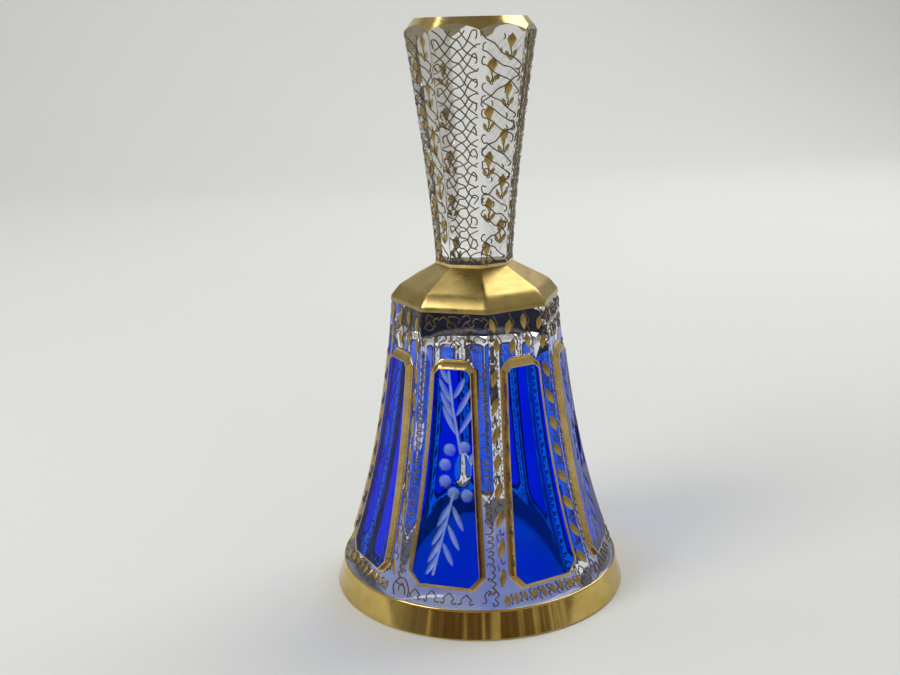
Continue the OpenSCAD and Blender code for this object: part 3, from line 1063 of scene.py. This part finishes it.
def run_tree(source, tree, values, name):
    """Run a node tree on an object and keep the result as a plain mesh."""
    modifier = source.modifiers.new("nodes", "NODES")
    modifier.node_group = tree
    for item in tree.interface.items_tree:
        if item.item_type == "SOCKET" and item.in_out == "INPUT" and item.name in values:
            modifier[item.identifier] = values[item.name]
    bpy.context.view_layer.update()
    ready = source.evaluated_get(bpy.context.evaluated_depsgraph_get())
    mesh = bpy.data.meshes.new_from_object(ready)
    bpy.data.objects.remove(source)
    piece = bpy.data.objects.new(name, mesh)
    bpy.context.scene.collection.objects.link(piece)
    mesh.shade_smooth()
    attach(piece, "bell")
    print(name, len(mesh.polygons), "faces")
    return piece


# %% [markdown]
# ## From a flat drawing to the glass
# A painter's line follows the glass under the brush and wanders a little. A Shrinkwrap modifier could
# press a flat curve on the glass, but it loses points at the sharp edges. A drawing's points are turned
# into an angle round the axis and a height instead, and the radius is that of the glass there: the flat
# side, or the small hollow above the foot. Each stroke runs as a smooth curve through a few knots that
# are nudged by chance, with a fixed seed.

# %% Laying drawings on the sides
hand = np.random.default_rng(11)
LAY = 0.03


def on_body(k, line):
    """From a drawing (across, up) on side k of the body to space."""
    across, up = line[:, 0], line[:, 1]
    flat = facet_r(up)
    turn = np.arctan2(across, flat)
    radius = np.minimum(flat / np.cos(turn), blank_r(up))
    radius = np.where(up < FACET_END + RUN_OUT, np.maximum(radius, skirt_r(up)), radius)
    return place(HALF + k * 2 * HALF + turn, radius + LAY, up)


def on_handle(k, line):
    """From a drawing (across, up) on side k of the handle to space."""
    across, up = line[:, 0], line[:, 1]
    flat = handle_arris(up) * IN_K
    return place(HALF + k * 2 * HALF + np.arctan2(across, flat), np.hypot(flat, across) + LAY, up)


print("paint lies", LAY, "mm over the glass")

# %% Drawing a stroke
STEPS_BETWEEN = 6
PRESS, END_SWELL, WET_SWELL = 0.9, 0.55, 0.28
STROKE_STEP = 0.2


def flow(knots, nudge=0.06):
    """A smooth curve through knots, each nudged a little."""
    knots = np.asarray(knots, float)
    knots = knots + hand.normal(0, nudge, knots.shape)
    padded = np.vstack([2 * knots[0] - knots[1], knots, 2 * knots[-1] - knots[-2]])
    t = np.linspace(0, 1, STEPS_BETWEEN + 1)[:-1, None]
    parts = []
    for a, b, c, d in zip(padded, padded[1:], padded[2:], padded[3:]):
        parts.append(0.5 * (2 * b + (c - a) * t + (2 * a - 5 * b + 4 * c - d) * t ** 2
                            + (3 * b - a - 3 * c + d) * t ** 3))
    return np.vstack([*parts, knots[-1:]])


def moved(knots, across, up, flip=1, grow=1.0):
    """A motif's knots at a place, mirrored by flip = -1 and scaled by grow."""
    knots = np.asarray(knots, float) * grow
    return np.stack([across + flip * knots[:, 0], up + knots[:, 1]], 1)


def draw(name, strokes, radius, material):
    """strokes: polylines in millimetres. The brush is pressed harder at a stroke's ends."""
    data = bpy.data.curves.new(name, "CURVE")
    data.dimensions = "3D"
    for line in strokes:
        spline = data.splines.new("POLY")
        spline.points.add(len(line) - 1)
        flat = np.concatenate([np.asarray(line) * MM, np.ones((len(line), 1))], 1)
        spline.points.foreach_set("co", flat.ravel())
        t = np.linspace(0, 1, len(line))
        press = PRESS + END_SWELL * np.exp(-(np.minimum(t, 1 - t) * len(line) / 3.0) ** 2)
        press = press + WET_SWELL * np.sin(t * len(line) * 0.42 + hand.uniform(0, 6)) ** 8
        spline.points.foreach_set("radius", press)
    source = bpy.data.objects.new(name + "_source", data)
    bpy.context.scene.collection.objects.link(source)
    values = {"Brush Radius": radius * MM, "Step": STROKE_STEP * MM, "Material": material}
    return run_tree(source, BRUSH, values, name)


# %% [markdown]
# ## The net on the handle
# Four sides of the handle carry a net of gold: two sets of wavy lines cross, one falling to the right and
# one to the left, about 2.5 mm apart. A repeated texture would show its tile. Each line is drawn on its
# own with small slips, every second one starts with a hook at the edge of the side, and the waves turn
# the crossings into scales.

# %% Net strokes
NET_STEP, NET_KNOTS = 2.45, 7
PLAIN_START = [(-0.35, 0.1), (0.25, -0.1)]
HOOK_START = [(0.5, -1.35), (0.12, -0.75), (0.1, 0.1), (0.55, 0.5), (1.1, 0.15)]


def net_line(z, flip, hooked, low):
    """A wavy line across a side, from height z down. flip = -1 starts it at the right edge."""
    half = float(handle_half(z)) - 0.55
    knots = list(HOOK_START if hooked else PLAIN_START)
    for n in range(1, NET_KNOTS + 1):
        t = n / NET_KNOTS
        fall = -0.3 - t * (2 * half - 1.0) * 0.95
        knots.append((0.7 + t * (2 * half - 1.0), fall + 0.34 * math.sin(n * 1.95 + 0.4)))
    line = flow(moved(knots, -flip * half, z, flip), 0.13)
    return line[(line[:, 1] > low) & (line[:, 1] < BELL_H - 2.7)]


handle_strokes = []
for k in range(1, 8, 2):
    for n, z in enumerate(np.arange(BELL_H + 2.0, NECK_Z + 1.2, -NET_STEP)):
        for flip in (-1, 1):
            line = net_line(z + 0.3 * flip, flip, (n + (flip > 0)) % 2 == 0, NECK_Z + 0.9)
            if len(line) > 5:
                handle_strokes.append(on_handle(k, line))
print("net strokes:", len(handle_strokes))

# %% [markdown]
# ## Leaves on vines
# The sides between the nets carry two rows of pointed leaves, taken in turn left and right, each over a
# pair of small leaves and a berry. Thin vines fall across the side behind them. Every leaf is one dab of
# gold with a slightly domed back. They could be copied by hand with linked duplicates, but the export
# wants one mesh. One leaf shape serves for all: the tree places it on points that carry their own turn
# and size.

# %% Leaf shapes


def build_leaf(name, profile):
    """A flat leaf with a slightly domed back, one millimetre long and wide, in its own XY plane."""
    right = [(0.5 * w, 0.5 - t) for t, w in profile]
    edge = right + [(-x, y) for x, y in right[-2:0:-1]]
    count = len(edge)
    points = [(x * MM, y * MM, -0.02 * MM) for x, y in edge]
    points += [(x * 0.86 * MM, y * 0.9 * MM, 0.07 * MM) for x, y in edge] + [(0, 0, 0.1 * MM)]
    faces = [tuple(range(count))]
    for i in range(count):
        j = (i + 1) % count
        faces += [(j, i, count + i, count + j), (count + j, count + i, 2 * count)]
    mesh = bpy.data.meshes.new(name)
    mesh.from_pydata(points, [], faces)
    work = bmesh.new()
    work.from_mesh(mesh)
    bmesh.ops.recalc_face_normals(work, faces=work.faces)
    work.to_mesh(mesh)
    work.free()
    leaf = bpy.data.objects.new(name, mesh)
    bpy.context.scene.collection.objects.link(leaf)
    return leaf


KITE = build_leaf("kite_leaf", [(0, 0), (0.1, 0.3), (0.22, 0.72), (0.34, 1.0), (0.46, 0.92), (0.6, 0.62),
                                (0.76, 0.34), (0.9, 0.16), (1, 0)])
ALMOND = build_leaf("almond_leaf", [(0, 0), (0.08, 0.34), (0.22, 0.74), (0.4, 1.0), (0.58, 0.98),
                                    (0.76, 0.7), (0.9, 0.38), (1, 0)])
print("leaf shapes:", KITE.name, ALMOND.name)

# %% Placing leaves
leaf_sets = {"handle_kites": (KITE, []), "handle_almonds": (ALMOND, []), "body_almonds": (ALMOND, []),
             "foot_bars": (ALMOND, [])}


def add_leaf(group, k, u, z, width, length, lean):
    """Lay a leaf on side k. Lean turns its top towards +across."""
    lay = on_handle if group.startswith("handle") else on_body
    lean = lean + hand.normal(0, 0.08)
    width = width * hand.uniform(0.9, 1.1)
    length = length * hand.uniform(0.92, 1.08)
    spots = lay(k, np.array([(u, z), (u, z + 0.4), (u + 0.2, z)]))
    up = Vector(spots[1] - spots[0]).normalized()
    side = Vector(spots[2] - spots[0])
    side = (side - up * side.dot(up)).normalized()
    out = side.cross(up)
    turn = Matrix((side, up, out)).transposed() @ Matrix.Rotation(-lean, 3, "Z")
    leaf_sets[group][1].append((spots[0], turn.to_euler(), width, length))


def lay_leaves(name, leaf, leaves, material):
    """A mesh of bare points with a turn and a size each, run through the leaf tree."""
    mesh = bpy.data.meshes.new(name)
    mesh.from_pydata([tuple(spot * MM) for spot, _, _, _ in leaves], [], [])
    turn = mesh.attributes.new("turn", "FLOAT_VECTOR", "POINT")
    turn.data.foreach_set("vector", np.array([tuple(t) for _, t, _, _ in leaves], np.float32).ravel())
    size = mesh.attributes.new("size", "FLOAT_VECTOR", "POINT")
    size.data.foreach_set("vector", np.array([(w, l, 1.0) for _, _, w, l in leaves], np.float32).ravel())
    source = bpy.data.objects.new(name + "_source", mesh)
    bpy.context.scene.collection.objects.link(source)
    return run_tree(source, LEAVES, {"Leaf": leaf, "Material": material}, name)


# %% Handle leaves and vines
VINE = [(0.95, 0.55), (0.3, 0.5), (0.05, -0.3), (0.5, -1.0), (1.3, -1.3)]
VINE_FALL = 0.62
LEAF_PITCH, VINE_PITCH = 4.9, 2.7
BERRY_RING = [(0.32 * math.sin(a), 0.32 * math.cos(a)) for a in np.linspace(0, 6.0, 9)]


def vine_knots(reach, n):
    """A vine that falls across the side and ends in a small hook."""
    knots = list(VINE)
    for m in range(1, 5):
        knots.append((1.3 + reach * m / 4, -1.3 - VINE_FALL * reach * m / 4 + 0.3 * math.sin(m * 2.2 + n)))
    return knots + [(1.3 + reach + 0.3, -2.1 - VINE_FALL * reach), (1.0 + reach, -2.5 - VINE_FALL * reach)]


for k in range(0, 8, 2):
    for n, z in enumerate(np.arange(BELL_H - 5.2, NECK_Z + 2.6, -LEAF_PITCH)):
        half = float(handle_half(z))
        side = -1 if n % 2 else 1
        u = side * half * hand.uniform(0.34, 0.5)
        add_leaf("handle_kites", k, u, z, 2.2, 3.9, 0.1 * side)
        add_leaf("handle_almonds", k, u - 0.85, z - 2.6, 0.95, 2.0, -0.5)
        add_leaf("handle_almonds", k, u + 0.9, z - 2.45, 0.95, 2.2, 0.6)
        handle_strokes.append(on_handle(k, flow(moved(BERRY_RING, u, z - 3.3), 0.02)))
        stalk = [(u, z - 1.5), (u + 0.1, z - 2.3), (u - 0.05, z - 3.0)]
        handle_strokes.append(on_handle(k, flow(stalk, 0.04)))
    for n, z in enumerate(np.arange(BELL_H - 3.2, NECK_Z + 2.0, -VINE_PITCH)):
        half = float(handle_half(z)) - 0.5
        flip = -1 if n % 4 == 3 else 1
        line = flow(moved(vine_knots(2 * half - 1.8, n), -flip * half, z, flip), 0.12)
        line = line[(line[:, 1] > NECK_Z + 0.9) & (line[:, 1] < BELL_H - 2.9)]
        if len(line) > 8:
            handle_strokes.append(on_handle(k, line))
        tick = half * hand.uniform(-0.5, 0.6)
        if z - 1.6 > NECK_Z + 1:
            dab = [(tick, z - 0.4), (tick + 0.25, z - 1.0), (tick, z - 1.5)]
            handle_strokes.append(on_handle(k, flow(dab, 0.05)))
print("handle strokes:", len(handle_strokes), "kite leaves:", len(leaf_sets["handle_kites"][1]))

# %% [markdown]
# ## Curls and leaves on the ribs
# The half of a rib beside an engraved panel carries a chain of small open curls, and the half beside a
# plain panel carries slanting almond leaves with hooks between. One curl repeated by an Array modifier
# would look stamped. Two curls taken by chance, each with its own slips, look drawn.

# %% Ribs
body_strokes = []
CURL_PITCH, CURL_GROW = 3.05, 1.25
CURL = [(-0.5, 0.0), (0.15, 0.1), (0.5, -0.35), (0.1, -0.8), (-0.1, -0.85), (0.45, -1.15), (0.5, -1.7),
        (0.0, -2.1), (-0.5, -1.9), (-0.6, -2.35)]
SQUARE_CURL = [(-0.5, 0.0), (0.3, 0.05), (0.4, -0.5), (-0.35, -0.6), (-0.4, -1.05), (0.3, -1.0), (0.55, -1.5),
               (0.2, -2.0), (-0.4, -2.0), (-0.6, -2.4)]
HOOK = [(0.3, 1.0), (0.45, 0.3), (0.2, -0.3), (-0.35, -0.35), (-0.4, 0.1)]


def curls_down(k, side):
    z = 57.6
    while z > 11.0:
        motif = CURL if hand.random() < 0.6 else SQUARE_CURL
        middle = side * (float(facet_half(z)) - 1.15)
        body_strokes.append(on_body(k, flow(moved(motif, middle, z, side, CURL_GROW), 0.07)))
        z -= CURL_PITCH


def leaves_down(k, side):
    for z in np.arange(54.5, 11.0, -6.0):
        middle = side * (float(facet_half(z)) - 1.25)
        add_leaf("body_almonds", k, middle, z, 1.75, 4.3, -0.42 * side)
        stem = [(0.5, 1.5), (0.75, 2.4), (0.2, 3.1)]
        body_strokes.append(on_body(k, flow(moved(stem, middle, z, side), 0.05)))
        if z > 14:
            body_strokes.append(on_body(k, flow(moved(HOOK, middle, z - 2.9, side), 0.08)))


for k in range(8):
    for side in (-1, 1):
        if k % 2:
            curls_down(k, side)
        else:
            leaves_down(k, side)
print("rib strokes:", len(body_strokes), "rib leaves:", len(leaf_sets["body_almonds"][1]))

# %% [markdown]
# ## Border above the foot
# Between the panels and the gold foot runs a band of small painted shapes: little tents under the
# engraved panels, and upright dabs with wiggles between under the plain ones. An Array modifier would
# give exact copies. The drawing helpers lay them at even steps too, but each with its own small slips.

# %% Foot border
TENT = [(-1.75, 0.1), (-1.05, 0.0), (-0.95, 0.55), (-1.15, 0.75), (-0.1, 1.75), (0.1, 1.7), (1.1, 0.75),
        (0.85, 0.55), (0.95, 0.0), (1.75, 0.15)]
ARCH = [(-1.5, -1.6), (-1.75, 0.2), (-1.0, 1.6), (0.4, 1.9), (1.5, 1.0), (1.75, -0.6), (1.6, -1.7)]
INNER = [(0.8, -1.5), (0.8, -0.1), (0.1, 0.5), (-0.6, 0.1), (-0.35, -0.6)]
CLOVER = [(-1.7, -1.4), (-0.9, -0.9), (-1.4, 0.2), (-0.5, 1.2), (0.3, 0.7), (0.9, 1.4), (1.7, 0.7),
          (1.1, -0.2), (1.8, -0.9), (0.9, -1.6), (0.5, -0.9)]
WIGGLE = [(0.35, 1.1), (-0.2, 0.8), (0.3, 0.1), (-0.25, -0.5), (0.15, -1.0)]
STROKE_Z = FOOT_H + 1.45
TENT_PITCH, DAB_PITCH = 3.9, 1.15
half = float(facet_half(8.0)) - 2.6
for k in range(8):
    if k % 2:
        for u in np.arange(-half + 2.6, half - 2.2, TENT_PITCH):
            body_strokes.append(on_body(k, flow(moved(TENT, u, FOOT_H + 0.55, 1, 1.0), 0.06)))
        for flip, motifs in ((-1, (ARCH, INNER)), (1, (CLOVER,))):
            for motif in motifs:
                corner = moved(motif, flip * (half + 0.6), FOOT_H + 2.35)
                body_strokes.append(on_body(k, flow(corner, 0.06)))
    else:
        for n, u in enumerate(np.arange(-half - 0.6, half + 0.9, DAB_PITCH)):
            if n % 2:
                body_strokes.append(on_body(k, flow(moved(WIGGLE, u, STROKE_Z), 0.07)))
            else:
                add_leaf("foot_bars", k, u, STROKE_Z, hand.uniform(1.0, 1.9), 2.7, hand.uniform(-0.25, 0.25))
print("body strokes:", len(body_strokes), "dabs:", len(leaf_sets["foot_bars"][1]))

# %% [markdown]
# ## Collar
# The clear collar under the gilded shoulder repeats both ideas on a larger scale: two rows of loose
# squiggles over the engraved panels, and two rows of almond leaves with vines over the plain ones. The
# motifs are open squiggles of no meaning, mirrored in turn so that no two neighbours match.

# %% Collar squiggles and leaves
LOOP = [(-1.5, -1.2), (-0.4, -1.5), (0.5, -0.9), (0.1, 0.0), (-1.0, 0.3), (-1.2, 1.3), (0.0, 1.8),
        (1.3, 1.1), (0.9, 0.3)]
SQUIGGLE = [(0.9, 1.5), (-0.1, 1.9), (-0.9, 1.2), (-0.4, 0.4), (0.5, -0.1), (1.1, -0.9), (0.3, -1.7),
            (-0.9, -1.2), (-0.6, -0.3), (0.3, 0.5)]
CLOUD = [(-1.9, -0.9), (-1.2, -0.2), (-1.5, 0.7), (-0.5, 1.4), (0.4, 0.9), (1.0, 1.5), (1.9, 0.6),
         (1.3, -0.2), (1.9, -1.1)]
COLLAR_VINE = [(0.2, 2.2), (1.0, 1.2), (1.4, 0), (0.9, -1.4), (1.5, -2.2)]
for k in range(8):
    half = float(facet_half(64.0)) - 1.2
    if k % 2:
        for row, z in enumerate((66.0, 62.0)):
            for n, u in enumerate(np.linspace(-half + 0.7, half - 0.7, 5)):
                motif = (LOOP, SQUIGGLE, CLOUD)[(n + row + k) % 3]
                shape = moved(motif, u, z + hand.uniform(-0.3, 0.3), -1 if n % 2 else 1, 0.95)
                body_strokes.append(on_body(k, flow(shape, 0.09)))
    else:
        for row, z in enumerate((65.9, 61.6)):
            for n, u in enumerate(np.linspace(-half + 0.4, half - 0.4, 4) + 0.7 * (row - 0.5)):
                add_leaf("body_almonds", k, u, z - 0.8 * (n % 2), 1.55, 3.5, hand.uniform(-0.2, 0.2))
                body_strokes.append(on_body(k, flow(moved(COLLAR_VINE, u, z), 0.1)))
print("all body strokes:", len(body_strokes))

# %% Running the brush and the leaves
HANDLE_BRUSH, BODY_BRUSH = 0.15, 0.155
draw("painted_lines_handle", handle_strokes, HANDLE_BRUSH, HANDLE_LINE)
draw("painted_lines_body", body_strokes, BODY_BRUSH, SHADED_LINE_GOLD)
for name, (leaf, leaves) in leaf_sets.items():
    lay_leaves(f"painted_{name}", leaf, leaves, LEAF_GOLD)
for leaf in (KITE, ALMOND):
    bpy.data.objects.remove(leaf)

# %% [markdown]
# ## Chain and clapper
# What hangs inside is a guess: a wire eye set in cement, three links and a small cast bead. The CAD
# already gives them their round wire and true gaps, and a new mesh could only lose that, so they keep
# their CAD shape. They only need tarnished wire, dark cast metal and old plaster, mottled by noise.

# %% Ironware materials


def dark_metal(name, low, high, rough):
    material, tree = new_material(name)
    tint = ramp(tree, noise(tree, 700, 5), [(0.3, low), (0.75, high)])
    metal = node(tree, "ShaderNodeBsdfPrincipled", Base_Color=tint, Roughness=rough, Metallic=1.0)
    tree.links.new(bump(tree, noise(tree, 2500, 4), 0.5, 0.0001), metal.inputs["Normal"])
    output(tree, metal.outputs[0])
    return material


def plaster():
    material, tree = new_material("old_plaster")
    tint = ramp(tree, noise(tree, 900, 5), [(0.3, (0.5, 0.47, 0.4)), (0.7, (0.72, 0.7, 0.64))])
    dull = node(tree, "ShaderNodeBsdfPrincipled", Base_Color=tint, Roughness=0.85)
    tree.links.new(bump(tree, noise(tree, 3000, 4), 0.6, 0.0001), dull.inputs["Normal"])
    output(tree, dull.outputs[0])
    return material


WIRE = dark_metal("tarnished_wire", (0.16, 0.1, 0.04), (0.34, 0.23, 0.08), 0.38)
BEAD = dark_metal("cast_bead", (0.03, 0.028, 0.025), (0.1, 0.085, 0.07), 0.5)
PLASTER = plaster()
print("ironware:", WIRE.name, BEAD.name, PLASTER.name)

# %% Dressing the ironware
ironware = [("hanger_plug", PLASTER, "cement"), ("hanger_eye", WIRE, "dark_wire")]
ironware += [(f"chain_link_{n}", WIRE, "dark_wire") for n in (1, 2, 3)]
ironware += [("clapper_eye", WIRE, "dark_wire"), ("clapper_bead", BEAD, "clapper_metal")]
for name, material, slot_name in ironware:
    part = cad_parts[name]
    part.data.materials.clear()
    part.data.materials.append(material)
print("dressed:", [name for name, material, slot_name in ironware])

# %% [markdown]
# ## Backdrop
# The bell stands on pale paper that runs up behind it, so the main view shows no horizon. A plane with a
# bevelled fold would do. A short strip of points with an arc in it gives the same sweep in a few faces.

# %% Paper sweep


def build_sweep():
    """All in metres: half width, front edge, back wall, its height and the radius of the bend."""
    width, front, back, high, bend = 2.4, -1.2, 1.3, 1.7, 0.5
    line = [(front, 0.0), (back - bend, 0.0)]
    line += [(back - bend + bend * math.sin(a), bend - bend * math.cos(a))
             for a in np.linspace(0.1, math.pi / 2, 12)]
    line.append((back, high))
    points = [(x, y, z) for y, z in line for x in (-width, width)]
    faces = [(2 * i, 2 * i + 1, 2 * i + 3, 2 * i + 2) for i in range(len(line) - 1)]
    mesh = bpy.data.meshes.new("sweep")
    mesh.from_pydata(points, [], faces)
    mesh.shade_smooth()
    sweep = bpy.data.objects.new("sweep", mesh)
    bpy.context.scene.collection.objects.link(sweep)
    material, tree = new_material("pale_paper")
    tint = ramp(tree, noise(tree, 3, 2), [(0.3, (0.70, 0.71, 0.69)), (0.7, (0.72, 0.73, 0.71))])
    paper = node(tree, "ShaderNodeBsdfPrincipled", Base_Color=tint, Roughness=0.7)
    paper.inputs["Specular IOR Level"].default_value = 0.2
    output(tree, paper.outputs[0])
    mesh.materials.append(material)
    return sweep


sweep = build_sweep()
print("sweep:", len(sweep.data.polygons), "faces")

# %% [markdown]
# ## Lamps
# Polished gold and cut glass show their lamps as reflections, so hard point lamps would give pinpricks.
# Three large soft boxes stand in for a window, a lamp on the left and the bright wall behind.

# %% Soft boxes


def soft_box(name, spot, aim, size, power):
    data = bpy.data.lights.new(name, "AREA")
    data.shape = "RECTANGLE"
    data.size, data.size_y = size
    data.energy = power
    lamp = bpy.data.objects.new(name, data)
    lamp.location = spot
    lamp.rotation_euler = (Vector(aim) - Vector(spot)).to_track_quat("-Z", "Y").to_euler()
    bpy.context.scene.collection.objects.link(lamp)
    print(name, power, "W")


soft_box("key_light", (-0.6, -0.3, 0.5), (0, 0, 0.05), (0.4, 0.4), 3.4)
soft_box("window_light", (0.55, 0.5, 0.8), (0, 0, 0.05), (0.8, 0.6), 4.7)
soft_box("wall_light", (0.0, 0.35, 1.3), (0, 1.3, 0.55), (1.6, 0.4), 7)

# %% [markdown]
# ## The room that the gold mirrors
# Polished gold looks like gold because it mirrors a room: bright behind and beside the bell, with dark
# shapes low down behind the viewer. An image of a room could be wrapped round the scene, but a few nodes
# on the world give the same dark streaks without any file. Camera rays see plain pale light.

# %% Room light


def mix_colours(tree, share, first, second):
    made = tree.nodes.new("ShaderNodeMix")
    made.data_type = "RGBA"
    for index, value in ((0, share), (6, first), (7, second)):
        if isinstance(value, bpy.types.NodeSocket):
            tree.links.new(value, made.inputs[index])
        else:
            made.inputs[index].default_value = value
    return made.outputs[2]


def dark_furniture(tree, direction):
    """Brown blocks with a few light gaps, wider than they are high."""
    stretched = tree.nodes.new("ShaderNodeMapping")
    stretched.inputs["Scale"].default_value = (3.4, 3.4, 1.5)
    tree.links.new(direction, stretched.inputs["Vector"])
    shapes = node(tree, "ShaderNodeTexNoise", Vector=stretched.outputs[0], Scale=1.0, Detail=4.0)
    return ramp(tree, shapes.outputs["Fac"], [
        (0.36, (0.09, 0.06, 0.04)), (0.46, (0.27, 0.19, 0.13)), (0.5, (0.16, 0.11, 0.08)),
        (0.57, (0.33, 0.26, 0.18)), (0.6, (0.8, 0.74, 0.6)), (0.66, (0.22, 0.16, 0.11))])


def build_world():
    world = bpy.data.worlds.new("soft_room")
    bpy.context.scene.world = world
    world.use_nodes = True
    tree = world.node_tree
    tree.nodes.clear()
    direction = tree.nodes.new("ShaderNodeTexCoord").outputs["Generated"]
    split = node(tree, "ShaderNodeSeparateXYZ", Vector=direction)
    toward_back = node(tree, "ShaderNodeMapRange", Value=split.outputs["Y"], From_Min=-0.8, From_Max=0.2,
                       To_Min=0.0, To_Max=1.0)
    above = ramp(tree, split.outputs["Z"], [(0.17, (0, 0, 0)), (0.3, (1, 1, 1)), (0.8, (1, 1, 1)),
                                            (0.93, (0.4, 0.4, 0.4))])
    zenith = ramp(tree, split.outputs["Z"], [(0.7, (0.62, 0.64, 0.64)), (0.95, (0.3, 0.31, 0.31))])
    front = mix_colours(tree, above, dark_furniture(tree, direction), (0.62, 0.61, 0.58, 1))
    room = mix_colours(tree, toward_back.outputs[0], front, zenith)
    rays = tree.nodes.new("ShaderNodeLightPath")
    seen = mix_colours(tree, rays.outputs["Is Camera Ray"], room, (0.9, 0.91, 0.9, 1))
    glow = node(tree, "ShaderNodeBackground", Color=seen, Strength=0.64)
    out = tree.nodes.new("ShaderNodeOutputWorld")
    tree.links.new(glow.outputs[0], out.inputs["Surface"])
    print("world:", world.name, len(tree.nodes), "nodes")


build_world()

# %% [markdown]
# ## Camera and colours
# The camera stands close by, about as high as the handle's top, and looks down. It could be aimed with a
# Track To constraint, but its slight roll is easier to give as one of three angles. Cobalt glass is so
# saturated that the default view transform turns it pale, so the plain standard one is used, and the
# light paths are long, because glass behind glass takes many crossings.

# %% Camera


def build_camera():
    away, high, turned = 0.25528, 0.12602, math.radians(-7.54)
    pan, tilt, roll = math.radians(-1.33), math.radians(14.79), math.radians(-1.31)
    data = bpy.data.cameras.new("camera")
    data.lens = 45.88
    data.sensor_width = 36
    data.clip_start = 0.01
    camera = bpy.data.objects.new("camera", data)
    forward = Vector((math.sin(pan) * math.cos(tilt), math.cos(pan) * math.cos(tilt), -math.sin(tilt)))
    right = forward.cross(Vector((0, 0, 1))).normalized()
    up = right.cross(forward)
    tipped_right = right * math.cos(roll) + up * math.sin(roll)
    tipped_up = up * math.cos(roll) - right * math.sin(roll)
    turn = Matrix.Rotation(turned, 3, "Z")
    columns = [turn @ v for v in (tipped_right, tipped_up, -forward)]
    spot = turn @ Vector((0, -away, high))
    camera.matrix_world = Matrix([(*[c[i] for c in columns], spot[i]) for i in range(3)] + [(0, 0, 0, 1)])
    bpy.context.scene.collection.objects.link(camera)
    bpy.context.scene.camera = camera
    print("camera at", [round(v, 3) for v in spot])


build_camera()

# %% View transform and light paths
bpy.context.scene.view_settings.view_transform = "Standard"
bpy.context.scene.cycles.max_bounces = 32
bpy.context.scene.cycles.transmission_bounces = 28
bpy.context.scene.cycles.transparent_max_bounces = 32
bpy.context.scene.cycles.glossy_bounces = 10
print("view transform:", bpy.context.scene.view_settings.view_transform)
